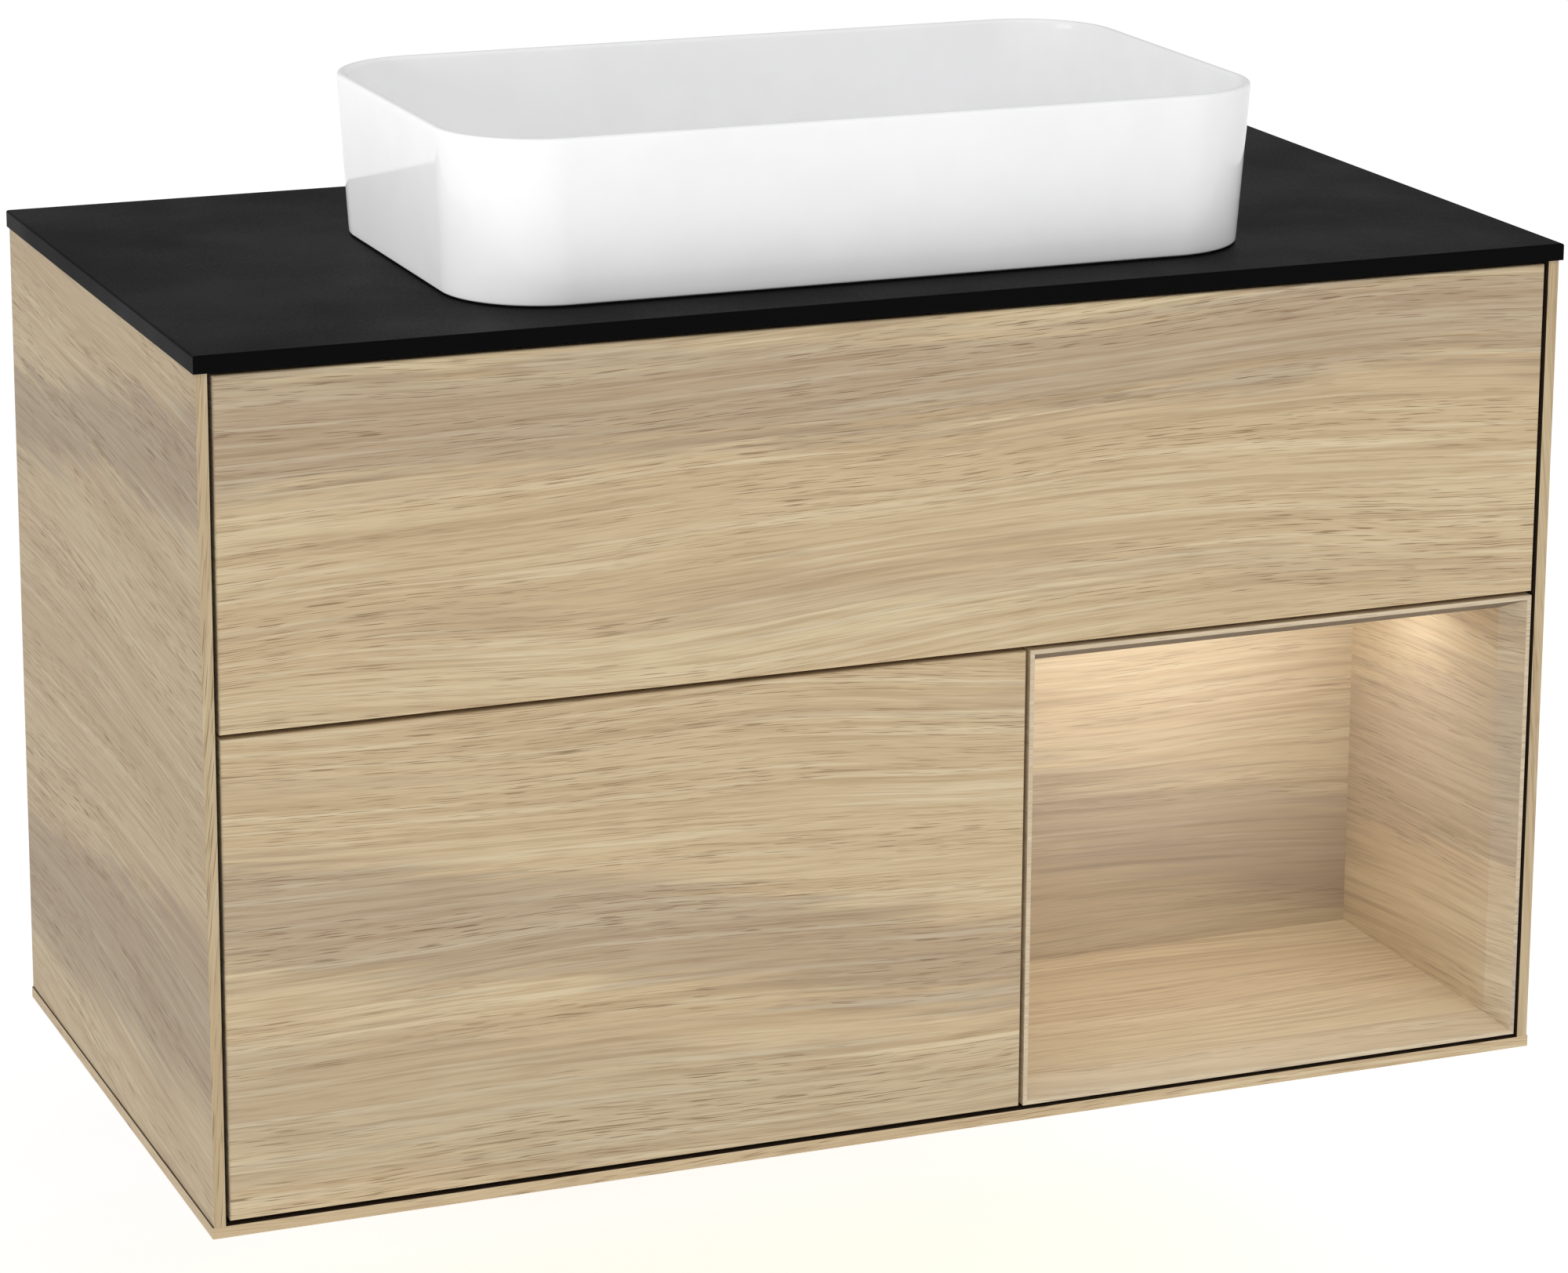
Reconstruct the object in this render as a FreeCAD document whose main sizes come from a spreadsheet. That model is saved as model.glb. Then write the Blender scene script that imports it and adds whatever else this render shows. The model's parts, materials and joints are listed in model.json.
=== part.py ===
import FreeCAD, Part
import os
import re

import Sketcher

# Wall-hung vanity with a vessel basin.
# Frame: +Z up, +X to the right as seen from the front; the front faces -Y and the wall is the plane y = 0.
# The origin is on the wall, at the centre of the four wall-fixing holes.  Lengths are in millimetres.

doc = FreeCAD.newDocument("VanityWithVesselBasin")

# ---------------------------------------------------------------- driving sizes

SIZES = [
    ("overall_width", 1000, "worktop, left to right"),
    ("overall_depth", 501, "wall to the worktop's front edge"),
    ("overall_height", 603, "worktop's top face to the underside of the cabinet"),
    ("fixing_drop", 75, "worktop's top face down to the wall-fixing centre"),
    ("worktop_thick", 12, ""),
    ("worktop_round", 1.6, "radius of the worktop's top edges"),
    ("hole_clear", 14.1, "waste's tail to the edge of the worktop's hole"),
    ("side_overhang", 2, "worktop beyond each side panel"),
    ("front_overhang", 3, "worktop beyond the fronts"),
    ("foot_proud", 1, "bottom panel beyond each side panel"),
    ("carcass_thick", 16, "side, bottom, middle and dividing panels"),
    ("lip_thick", 8, "what is left of a panel in front of its rebate"),
    ("front_thick", 19, ""),
    ("press_gap", 3, "room behind a closed front, so that it can be pressed in"),
    ("front_round", 1.6, "radius of the fronts' outer edges"),
    ("front_gap", 3, "joint between fronts, lips and niche"),
    ("top_gap", 2.4, "joint under the worktop"),
    ("upper_front_high", 240.3, ""),
    ("lower_front_wide", 575.5, ""),
    ("back_inset", 20, "wall to the back panel's rear face"),
    ("back_thick", 8, ""),
    ("rear_rail_high", 100, "upright rail at the back, which the hangers pass through"),
    ("front_rail_deep", 80, "flat rail under the worktop's front"),
    ("service_half", 120, "half width of the notch for pipes in the back panel"),
    ("service_rise", 12, "bottom of that notch above the middle panel"),
    ("niche_edge", 3.2, "width of the niche frame's front edge"),
    ("niche_flare", 10.3, "how far the frame flares, at the sides and the top"),
    ("niche_floor_flare", 8.5, "how far the frame flares at the bottom"),
    ("niche_deep", 240, "cabinet front to the niche's back"),
    ("niche_back_thick", 8, ""),
    ("led_wide", 16, "width of the light profile"),
    ("led_high", 8, ""),
    ("led_wall", 1.2, ""),
    ("led_cover", 1.6, "thickness of the diffuser"),
    ("led_setback", 136, "cabinet front to the middle of the light"),
    ("led_end_gap", 6, "end of the light to the niche's side"),
    ("driver_long", 130, "power supply of the light"),
    ("driver_inset", 60, "power supply to the panels beside and above it"),
    ("driver_high", 42, ""),
    ("driver_deep", 24, ""),
    ("gland_radius", 6, "cord gland on the power supply"),
    ("gland_long", 14, ""),
    ("basin_long", 600, "basin at the rim"),
    ("basin_wide", 349, ""),
    ("basin_foot_long", 588, "basin at the foot"),
    ("basin_foot_wide", 337, ""),
    ("basin_high", 114, ""),
    ("basin_corner", 70, "plan radius of the basin's corners"),
    ("basin_wall", 7, ""),
    ("basin_floor", 14, ""),
    ("bowl_round", 30, "radius between the bowl's floor and its walls"),
    ("rim_round", 2.8, ""),
    ("foot_round", 1.5, ""),
    ("basin_margin", 46.5, "worktop's front edge to the basin's rim"),
    ("seal_thick", 1, "silicone bed under the basin"),
    ("seal_inset", 1.5, "seal inside the edge of the basin's foot"),
    ("seal_wide", 22, ""),
    ("bore_clear", 2.1, "waste's tail to the hole in the basin's floor"),
    ("recess_clear", 4.5, "waste's flange to the edge of its recess"),
    ("recess_deep", 3, ""),
    ("flange_radius", 31.5, ""),
    ("flange_thick", 3, ""),
    ("flange_bevel", 1.2, ""),
    ("gasket_thick", 1.5, ""),
    ("tail_radius", 20.9, "threaded tail of the waste"),
    ("tail_bore", 17.5, ""),
    ("tail_long", 93.5, ""),
    ("washer_lap", 9, "rubber washer beyond the worktop's hole"),
    ("washer_thick", 3, ""),
    ("nut_wall", 13.1, "waste's tail to the corners of its back nut"),
    ("nut_high", 12, ""),
    ("guide_drop", 6, "flange to the top of the plug's guide"),
    ("guide_high", 12, ""),
    ("guide_web", 3, ""),
    ("plug_inset", 1.5, "plug's edge inside the flange's edge"),
    ("plug_edge", 2.5, ""),
    ("plug_crown", 2.9, "how far the plug's top swells above its edge"),
    ("plug_lift", 8, "plug above the flange when the waste is open"),
    ("stem_radius", 3, ""),
    ("stem_long", 22, "flange to the end of the stem"),
    ("stem_play", 0.1, "stem to its guide"),
    ("slip_play", 0.25, "sliding joints of the trap"),
    ("trap_pipe_radius", 16, ""),
    ("trap_pipe_wall", 1.5, ""),
    ("spigot_long", 45, "free end of the outlet pipe, up to its stop bead"),
    ("bead_wide", 4, ""),
    ("bead_high", 2, ""),
    ("bottle_radius", 34, ""),
    ("bottle_wall", 3, ""),
    ("bottle_neck", 8, "width and height of the bottle's neck"),
    ("bottle_shoulder", 6, ""),
    ("outlet_boss", 21, "length of the boss that takes the outlet pipe"),
    ("cup_wall", 3, ""),
    ("cup_lap", 8, "how far the cup reaches up over the bottle"),
    ("cup_chamfer", 10, ""),
    ("trap_clear", 16.7, "middle panel to the trap's cup"),
    ("slip_nut_wall", 7.1, ""),
    ("slip_nut_high", 22, ""),
    ("slip_nut_cap", 3, ""),
    ("slip_nut_lap", 6, "how far a slip nut reaches past the end it holds"),
    ("collar_thick", 2.4, "collar on the inlet tube"),
    ("runner_wide", 12.7, "space for a runner between box and panel"),
    ("runner_high", 45, ""),
    ("runner_back_gap", 51, "back panel to the rear end of drawers and runners"),
    ("runner_gauge", 1.3, "thickness of the runner's sheet"),
    ("runner_play", 0.8, "between the runner's members"),
    ("runner_rise", 10, "drawer side's lower edge to its runner"),
    ("screw_end", 45, "runner's ends to its outer screws"),
    ("screw_head", 3.5, "radius of the runner screws' heads"),
    ("screw_shank", 1.9, ""),
    ("screw_long", 13, ""),
    ("screw_sink", 0.7, "how far a head sits in the panel"),
    ("screw_play", 0.05, ""),
    ("release_long", 90, "push-to-open unit below each runner"),
    ("release_high", 14, ""),
    ("release_wide", 10, ""),
    ("release_gap", 2, "runner to the unit below it"),
    ("drawer_side_thick", 14, ""),
    ("drawer_base_thick", 8, ""),
    ("drawer_base_rise", 10, "drawer side's lower edge to the underside of its bottom"),
    ("drawer_lift", 12, "panel below to the drawer side's lower edge"),
    ("upper_side_high", 130, ""),
    ("lower_headroom", 97.3, "middle panel to the lower drawer's upper edge"),
    ("siphon_half", 105, "half width of the cut-out round the trap"),
    ("siphon_front", 75, "trap axis to the front of the cut-out"),
    ("siphon_thick", 3, ""),
    ("bracket_leg", 24, "angle brackets"),
    ("bracket_gauge", 2, ""),
    ("bracket_wide", 18, ""),
    ("bracket_rise", 40, "drawer side's lower edge to its lower bracket"),
    ("bracket_fall", 20, "drawer side's upper edge to its upper bracket"),
    ("bracket_setback", 130, "wall to the rear worktop brackets"),
    ("hanger_wide", 22, ""),
    ("hanger_deep", 56, ""),
    ("hanger_high", 50, ""),
    ("hanger_sill", 22, "wall-fixing centre down to the hanger's lower face"),
    ("hanger_clear", 2, "hanger to its notch"),
    ("plate_wide", 80, "wall plates"),
    ("plate_high", 70, ""),
    ("plate_gauge", 2.5, ""),
    ("plate_hole", 3.5, "radius of the wall-fixing holes"),
    ("plate_hole_half", 16, "half the distance between a plate's two holes"),
    ("hook_reach", 12, "wall to the front of the wall plate's hook"),
    ("hook_high", 10, ""),
    ("hook_inset", 4, "hook inside the hanger's sides"),
    ("hook_drop", 8, "hanger's top to its hook"),
    ("hook_play", 0.3, ""),
]

# Places that follow from the sizes.
PLACES = [
    ("top_z", "fixing_drop"),
    ("under_z", "top_z - worktop_thick"),
    ("floor_z", "top_z - overall_height"),
    ("body_half", "overall_width / 2 - side_overhang"),
    ("inner_half", "body_half - carcass_thick"),
    ("front_half", "body_half - lip_thick - front_gap"),
    ("body_front", "front_overhang - overall_depth"),
    ("step_y", "body_front + front_thick + press_gap"),
    ("front_back_y", "body_front + front_thick"),
    ("back_y", "-back_inset - back_thick"),
    ("plate_top_z", "floor_z + lip_thick"),
    ("deck_z", "floor_z + carcass_thick"),
    ("upper_front_top", "under_z - top_gap"),
    ("upper_front_base", "upper_front_top - upper_front_high"),
    ("mid_base", "upper_front_base - front_gap"),
    ("mid_top", "mid_base + carcass_thick"),
    ("lower_base", "plate_top_z + front_gap"),
    ("lower_front_right", "lower_front_wide - front_half"),
    ("niche_left", "lower_front_right + front_gap"),
    ("divider_left", "niche_left - carcass_thick"),
    ("niche_in_left", "niche_left + niche_edge + niche_flare"),
    ("niche_in_right", "front_half - niche_edge - niche_flare"),
    ("niche_in_top", "mid_base - niche_edge - niche_flare"),
    ("niche_in_floor", "lower_base + niche_edge + niche_floor_flare"),
    ("niche_back_y", "body_front + niche_deep"),
    ("led_y", "body_front + led_setback"),
    ("rear_rail_base", "under_z - rear_rail_high"),
    ("basin_y", "basin_margin + basin_wide / 2 - overall_depth"),
    ("basin_z", "top_z + seal_thick"),
    ("flange_z", "basin_z + basin_floor - recess_deep + gasket_thick"),
    ("tail_end_z", "flange_z - tail_long"),
    ("cup_base_z", "mid_top + trap_clear"),
    ("trap_room", "tail_end_z - cup_base_z"),
    ("bottle_top_z", "tail_end_z - trap_room * 7 / 29"),
    ("cup_top_z", "cup_base_z + trap_room * 8 / 29"),
    ("bottle_base_z", "cup_top_z - cup_lap"),
    ("outlet_z", "(bottle_top_z + bottle_base_z) / 2"),
    ("outlet_end_y", "basin_y + bottle_radius + outlet_boss"),
    ("worktop_hole", "tail_radius + hole_clear"),
    ("box_back_y", "back_y - runner_back_gap"),
    ("runner_long", "box_back_y - front_back_y"),
    ("upper_box_half", "inner_half - runner_wide"),
    ("upper_box_base", "mid_top + drawer_lift"),
    ("upper_box_top", "upper_box_base + upper_side_high"),
    ("upper_runner_z", "upper_box_base + runner_rise + runner_high / 2"),
    ("lower_box_left", "runner_wide - inner_half"),
    ("lower_box_right", "divider_left - runner_wide"),
    ("lower_box_base", "deck_z + drawer_lift"),
    ("lower_box_top", "mid_base - lower_headroom"),
    ("lower_runner_z", "lower_box_base + runner_rise + runner_high / 2"),
    ("siphon_outer", "siphon_half + siphon_thick"),
    ("siphon_in_y", "basin_y - siphon_front"),
    ("siphon_out_y", "siphon_in_y - siphon_thick"),
    ("hanger_base", "-hanger_sill"),
    ("hook_top_z", "hanger_base + hanger_high - hook_drop"),
    ("plate_x", "inner_half - plate_wide / 2"),
]


def fill_sheets():
    """Write the driving sizes as plain numbers, and the places as formulas on them."""
    sizes = doc.addObject("Spreadsheet::Sheet", "Sizes")
    for row, (alias, value, note) in enumerate(SIZES, start=1):
        sizes.set(f"A{row}", alias)
        sizes.set(f"B{row}", str(value))
        sizes.set(f"C{row}", note)
        sizes.setAlias(f"B{row}", alias)
    places = doc.addObject("Spreadsheet::Sheet", "Places")
    for row, (alias, formula) in enumerate(PLACES, start=1):
        places.set(f"A{row}", alias)
        places.setAlias(f"B{row}", alias)
        places.set(f"B{row}", "=" + ex(formula))
    doc.recompute()


SIZE_NAMES = {entry[0] for entry in SIZES}
PLACE_NAMES = {entry[0] for entry in PLACES}


def ex(formula):
    """Turn a formula on plain names into an expression on the two sheets."""
    def owner(match):
        word = match.group(0)
        if word in SIZE_NAMES:
            return "Sizes." + word
        if word in PLACE_NAMES:
            return "Places." + word
        raise KeyError(word)
    return re.sub(r"[a-z][a-z_]*[a-z]", owner, formula)


# ---------------------------------------------------------------- tools of the trade

PIECES = []


def piece(obj, label):
    """Name a finished sub-part and keep it for the export."""
    obj.Label = label
    PIECES.append(obj)
    return obj


def seat(obj, x="0", y="0", z="0"):
    """Bind an object's position to formulas."""
    for axis, formula in (("x", x), ("y", y), ("z", z)):
        obj.setExpression(f"Placement.Base.{axis}", ex(formula))
    return obj


def block(name, x, y, z):
    """A box between two places along each axis."""
    box = doc.addObject("Part::Box", name)
    for prop, (low, high) in (("Length", x), ("Width", y), ("Height", z)):
        box.setExpression(prop, ex(f"({high}) - ({low})"))
    return seat(box, x[0], y[0], z[0])


def board(label, x, y, z):
    """A plain rectangular board."""
    return piece(block(label, x, y, z), label)


def rod(name, radius, start, length, along):
    """A cylinder from a start point, along x, -y or z."""
    cylinder = doc.addObject("Part::Cylinder", name)
    cylinder.setExpression("Radius", ex(radius))
    cylinder.setExpression("Height", ex(length))
    turn = {"x": (FreeCAD.Vector(0, 1, 0), 90), "-x": (FreeCAD.Vector(0, 1, 0), -90),
            "-y": (FreeCAD.Vector(1, 0, 0), 90), "z": (FreeCAD.Vector(0, 0, 1), 0)}[along]
    cylinder.Placement = FreeCAD.Placement(FreeCAD.Vector(), FreeCAD.Rotation(*turn))
    return seat(cylinder, *start)


def joined(name, parts):
    """One solid from several."""
    fuse = doc.addObject("Part::MultiFuse", name)
    fuse.Shapes = parts
    return fuse


def grouped(name, parts):
    """Several separate solids kept together."""
    compound = doc.addObject("Part::Compound", name)
    compound.Links = parts
    return compound


def carved(name, base, tools):
    """A solid with other solids taken out of it."""
    cut = doc.addObject("Part::Cut", name)
    cut.Base = base
    cut.Tool = tools[0] if len(tools) == 1 else grouped(name + "_tools", tools)
    return cut


def plane_of(body, role):
    """One of a body's own origin planes."""
    return next(f for f in body.Origin.OriginFeatures if f.Role == role)


def sketch_on(body, name, role="XY_Plane", height=None):
    """A sketch on an origin plane, lifted by a formula."""
    sketch = body.newObject("Sketcher::SketchObject", name)
    sketch.AttachmentSupport = [(plane_of(body, role), "")]
    sketch.MapMode = "FlatFace"
    if height is not None:
        sketch.setExpression("AttachmentOffset.Base.z", ex(height))
    return sketch


def value_of(formula):
    """A formula's number, worked out by the sheets' own engine."""
    result = doc.Sizes.evalExpression(ex(formula))
    return float(getattr(result, "Value", result))


def polygon(sketch, points):
    """A closed outline of straight sides through points given as formulas."""
    spots = [FreeCAD.Vector(value_of(across), value_of(up), 0) for across, up in points]
    count = len(spots)
    for index in range(count):
        sketch.addGeometry(Part.LineSegment(spots[index], spots[(index + 1) % count]), False)
    for index in range(count):
        sketch.addConstraint(Sketcher.Constraint("Coincident", index, 2, (index + 1) % count, 1))
    for index, (across, up) in enumerate(points):
        place = spots[index]
        for kind, formula, number in (("DistanceX", across, place.x), ("DistanceY", up, place.y)):
            made = sketch.addConstraint(Sketcher.Constraint(kind, -1, 1, index, 1, number))
            sketch.setExpression(f"Constraints[{made}]", ex(formula))


def rounded_rectangle(sketch, long_formula, wide_formula, radius_formula):
    """A rectangle with round corners, centred on the sketch's origin."""
    half_x = value_of(long_formula) / 2
    half_y = value_of(wide_formula) / 2
    radius = value_of(radius_formula)
    quarter = 1.5707963267948966
    signs = ((1, 1), (-1, 1), (-1, -1), (1, -1))
    for turn, (side_x, side_y) in enumerate(signs):
        centre = FreeCAD.Vector(side_x * (half_x - radius), side_y * (half_y - radius), 0)
        circle = Part.Circle(centre, FreeCAD.Vector(0, 0, 1), radius)
        sketch.addGeometry(Part.ArcOfCircle(circle, turn * quarter, (turn + 1) * quarter), False)
    for turn in range(4):
        start = sketch.getPoint(turn, 2)
        end = sketch.getPoint((turn + 1) % 4, 1)
        sketch.addGeometry(Part.LineSegment(start, end), False)
    for turn in range(4):
        sketch.addConstraint(Sketcher.Constraint("Tangent", turn, 2, turn + 4, 1))
        sketch.addConstraint(Sketcher.Constraint("Tangent", turn + 4, 2, (turn + 1) % 4, 1))
    for turn in range(1, 4):
        sketch.addConstraint(Sketcher.Constraint("Equal", 0, turn))
    for line in (4, 6):
        sketch.addConstraint(Sketcher.Constraint("Horizontal", line))
    for line in (5, 7):
        sketch.addConstraint(Sketcher.Constraint("Vertical", line))
    sketch.addConstraint(Sketcher.Constraint("Symmetric", 0, 3, 2, 3, -1, 1))
    radius_at = sketch.addConstraint(Sketcher.Constraint("Radius", 0, radius))
    across_at = sketch.addConstraint(Sketcher.Constraint("DistanceX", 1, 3, 0, 3, 2 * (half_x - radius)))
    up_at = sketch.addConstraint(Sketcher.Constraint("DistanceY", 3, 3, 0, 3, 2 * (half_y - radius)))
    sketch.setExpression(f"Constraints[{radius_at}]", ex(radius_formula))
    sketch.setExpression(f"Constraints[{across_at}]", ex(f"{long_formula} - 2 * ({radius_formula})"))
    sketch.setExpression(f"Constraints[{up_at}]", ex(f"{wide_formula} - 2 * ({radius_formula})"))


def turned(label, profile, x="0", y="basin_y", z="0"):
    """A piece turned about an upright axis, from (radius, height) formulas."""
    body = doc.addObject("PartDesign::Body", label)
    sketch = sketch_on(body, label + "_profile", "XZ_Plane")
    polygon(sketch, profile)
    spin = body.newObject("PartDesign::Revolution", label + "_turned")
    spin.Profile = sketch
    spin.ReferenceAxis = (sketch, ["V_Axis"])
    spin.Angle = 360
    seat(body, x, y, z)
    return body


def extruded(label, points, length, role="XY_Plane", x="0", y="0", z="0"):
    """A pad of a straight-sided outline: +Z from XY_Plane, -Y from XZ_Plane, +X from YZ_Plane."""
    body = doc.addObject("PartDesign::Body", label)
    sketch = sketch_on(body, label + "_outline", role)
    polygon(sketch, points)
    pad = body.newObject("PartDesign::Pad", label + "_pad")
    pad.Profile = sketch
    pad.setExpression("Length", ex(length))
    seat(body, x, y, z)
    return body


def soften(body, base, radius, wanted, name):
    """Round the edges of a feature whose middle points pass a test."""
    doc.recompute()
    names = []
    for index, edge in enumerate(base.Shape.Edges, start=1):
        middle = edge.valueAt((edge.FirstParameter + edge.LastParameter) / 2)
        if wanted(middle):
            names.append(f"Edge{index}")
    if not names:
        raise RuntimeError(f"{body.Label}: no edge to round for {name}")
    fillet = body.newObject("PartDesign::Fillet", name)
    fillet.Base = (base, names)
    fillet.setExpression("Radius", ex(radius))
    return fillet


def slab(label, x, y, z, radius, wanted):
    """A rectangular panel with some of its edges rounded."""
    body = doc.addObject("PartDesign::Body", label)
    sketch = sketch_on(body, label + "_outline")
    long_side = f"({x[1]}) - ({x[0]})"
    wide_side = f"({y[1]}) - ({y[0]})"
    polygon(sketch, [("0", "0"), (long_side, "0"), (long_side, wide_side), ("0", wide_side)])
    pad = body.newObject("PartDesign::Pad", label + "_pad")
    pad.Profile = sketch
    pad.setExpression("Length", ex(f"({z[1]}) - ({z[0]})"))
    soften(body, pad, radius, wanted, label + "_edges")
    seat(body, x[0], y[0], z[0])
    return body


def on_front(middle):
    """True for an edge of the face that looks along -Y."""
    return abs(middle.y) < 0.01


# ---------------------------------------------------------------- worktop and carcass

def make_worktop():
    """The thin top, rounded along its visible upper edges, with the hole for the waste."""
    deep = value_of("overall_depth")
    high = value_of("worktop_thick")

    def upper(middle):
        return abs(middle.z - high) < 0.01 and middle.y < deep - 0.01

    top = slab("worktop_blank", ("-overall_width / 2", "overall_width / 2"), ("-overall_depth", "0"),
               ("under_z", "top_z"), "worktop_round", upper)
    hole = rod("worktop_hole_tool", "worktop_hole", ("0", "basin_y", "under_z - 1"), "worktop_thick + 2", "z")
    piece(carved("worktop", top, [hole]), "worktop")


def pilot(name, x, y, z, along):
    """The hole that one runner screw needs in its panel: a sink for the head and a bore for the shank."""
    sink = rod(name + "_sink", "screw_head + screw_play", (x, y, z), "screw_sink + screw_play", along)
    bore = rod(name + "_bore", "screw_shank + screw_play", (x, y, z), "screw_long + screw_play", along)
    return [sink, bore]


RUNNER_SPOTS = ("front_back_y + screw_end", "(front_back_y + box_back_y) / 2", "box_back_y - screw_end")
RUNNERS = (
    ("upper_left", "-inner_half", "-x", "upper_runner_z"),
    ("upper_right", "inner_half", "x", "upper_runner_z"),
    ("lower_left", "-inner_half", "-x", "lower_runner_z"),
    ("lower_right", "divider_left", "x", "lower_runner_z"),
)


def pilots_for(panel_face):
    """All the pilot holes in the panels whose inner face is at a place."""
    tools = []
    for name, face, along, height in RUNNERS:
        if face != panel_face:
            continue
        for number, spot in enumerate(RUNNER_SPOTS, start=1):
            tools += pilot(f"{name}_pilot_{number}", face, spot, height, along)
    return tools


def make_side_panels():
    """Two side panels, rebated at the front so that only a thin lip shows beside the fronts."""
    for name, side in (("left", -1), ("right", 1)):
        outer = ("-body_half", "-inner_half") if side < 0 else ("inner_half", "body_half")
        rebate = (("lip_thick - body_half", "1 - inner_half") if side < 0
                  else ("inner_half - 1", "body_half - lip_thick"))
        blank = block(f"side_{name}_blank", outer, ("body_front", "0"), ("plate_top_z", "under_z"))
        notch = block(f"side_{name}_rebate", rebate, ("body_front - 1", "step_y"),
                      ("plate_top_z - 1", "under_z + 1"))
        face = "-inner_half" if side < 0 else "inner_half"
        label = f"side_panel_{name}"
        piece(carved(label, blank, [notch] + pilots_for(face)), label)


def make_panels():
    """Bottom, middle, dividing and back panels, and the two rails under the worktop."""
    foot = block("bottom_foot", ("-body_half - foot_proud", "body_half + foot_proud"),
                 ("body_front", "0"), ("floor_z", "plate_top_z"))
    deck = block("bottom_deck", ("-inner_half", "inner_half"), ("step_y", "0"), ("plate_top_z", "deck_z"))
    piece(joined("bottom_panel", [foot, deck]), "bottom_panel")

    board("mid_panel", ("-inner_half", "inner_half"), ("step_y", "back_y"), ("mid_base", "mid_top"))
    divider = block("divider_blank", ("divider_left", "niche_left"), ("step_y", "back_y"),
                    ("deck_z", "mid_base"))
    piece(carved("divider_panel", divider, pilots_for("divider_left")), "divider_panel")
    board("front_top_rail", ("-inner_half", "inner_half"), ("step_y", "step_y + front_rail_deep"),
          ("under_z - carcass_thick", "under_z"))

    back = extruded("back_panel", [
        ("-inner_half", "deck_z"), ("inner_half", "deck_z"),
        ("inner_half", "rear_rail_base"), ("service_half", "rear_rail_base"),
        ("service_half", "mid_top + service_rise"), ("-service_half", "mid_top + service_rise"),
        ("-service_half", "rear_rail_base"), ("-inner_half", "rear_rail_base"),
    ], "back_thick", "XZ_Plane", y="-back_inset")
    piece(back, "back_panel")

    rail = block("rear_rail_blank", ("-inner_half", "inner_half"),
                 ("-back_inset - carcass_thick", "-back_inset"), ("rear_rail_base", "under_z"))
    reach = "inner_half - hanger_wide - hanger_clear"
    notches = [
        block("rear_rail_notch_left", ("-inner_half - 1", f"-({reach})"),
              ("-back_inset - carcass_thick - 1", "1 - back_inset"),
              ("hanger_base - hanger_clear", "hanger_base + hanger_high + hanger_clear")),
        block("rear_rail_notch_right", (reach, "inner_half + 1"),
              ("-back_inset - carcass_thick - 1", "1 - back_inset"),
              ("hanger_base - hanger_clear", "hanger_base + hanger_high + hanger_clear")),
    ]
    piece(carved("rear_top_rail", rail, notches), "rear_top_rail")


# ---------------------------------------------------------------- niche

def taper(name, outer, inner):
    """A Part::Wedge between an outer and an inner rectangle, each ((low a, high a), (low y, high y))."""
    wedge = doc.addObject("Part::Wedge", name)
    (outer_a, outer_y), (inner_a, inner_y) = outer, inner
    limits = {"Xmin": outer_a[0], "Xmax": outer_a[1], "Zmin": outer_y[0], "Zmax": outer_y[1],
              "X2min": inner_a[0], "X2max": inner_a[1], "Z2min": inner_y[0], "Z2max": inner_y[1]}
    for prop, formula in limits.items():
        wedge.setExpression(prop, ex(formula))
    return wedge


def make_niche_trims():
    """The niche's front frame: four mitred strips, thin at the front edge and flaring inwards behind it.

    Each strip is two wedges: one as deep as the frame, for the front edge, and one that runs out to
    nothing at the front, for the flare.  A wedge's own y runs from the strip's outer face inwards.
    """
    depth = ("body_front", "step_y")
    sliver = ("step_y - 0.01", "step_y")
    side_low, side_high = "lower_base", "mid_base"
    floor_full = "niche_edge + niche_floor_flare"
    wall_full = "niche_edge + niche_flare"
    upright = (
        (side_low, side_high),
        (f"{side_low} + niche_edge", f"{side_high} - niche_edge"),
        (f"{side_low} + {floor_full}", f"{side_high} - ({wall_full})"),
    )
    level = (
        ("niche_left", "front_half"),
        ("niche_left + niche_edge", "front_half - niche_edge"),
        ("niche_left + niche_edge + niche_flare", "front_half - niche_edge - niche_flare"),
    )
    strips = (
        ("bottom", level, "niche_floor_flare", ("0", "0", "lower_base")),
        ("top", level, "niche_flare", ("0", "0", "mid_base")),
        ("left", upright, "niche_flare", ("niche_left", "0", "0")),
        ("right", upright, "niche_flare", ("front_half", "0", "0")),
    )
    for name, spans, flare, spot in strips:
        label = f"niche_trim_{name}"
        edge = strip_part(f"{label}_edge", name, (spans[0], depth), (spans[1], depth),
                          "0", "niche_edge", spot)
        slope = strip_part(f"{label}_flare", name, (spans[1], depth), (spans[2], sliver),
                           "niche_edge", f"niche_edge + {flare}", spot)
        piece(joined(label, [edge, slope]), label)


# How each strip's wedge is turned: its own x, y and z in the vanity's frame.
# Its own y points into the niche.
STRIP_AXES = {
    "bottom": ((1, 0, 0), (0, 0, 1), (0, -1, 0)),
    "top": ((1, 0, 0), (0, 0, -1), (0, 1, 0)),
    "left": ((0, 0, -1), (1, 0, 0), (0, -1, 0)),
    "right": ((0, 0, -1), (-1, 0, 0), (0, 1, 0)),
}


def strip_part(name, side, outer, inner, near, far, spot):
    """One wedge of a niche strip, between an outer and an inner (span, depth) rectangle."""
    own_x, own_y, own_z = (FreeCAD.Vector(*axis) for axis in STRIP_AXES[side])
    flips = (own_x.z < 0, own_z.y < 0)

    def own(rectangle):
        return tuple((f"-({high})", f"-({low})") if flip else (low, high)
                     for (low, high), flip in zip(rectangle, flips))

    wedge = taper(name, own(outer), own(inner))
    wedge.setExpression("Ymin", ex(near))
    wedge.setExpression("Ymax", ex(far))
    wedge.Placement = FreeCAD.Placement(FreeCAD.Vector(), FreeCAD.Rotation(own_x, own_y, own_z, "XYZ"))
    return seat(wedge, *spot)


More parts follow.
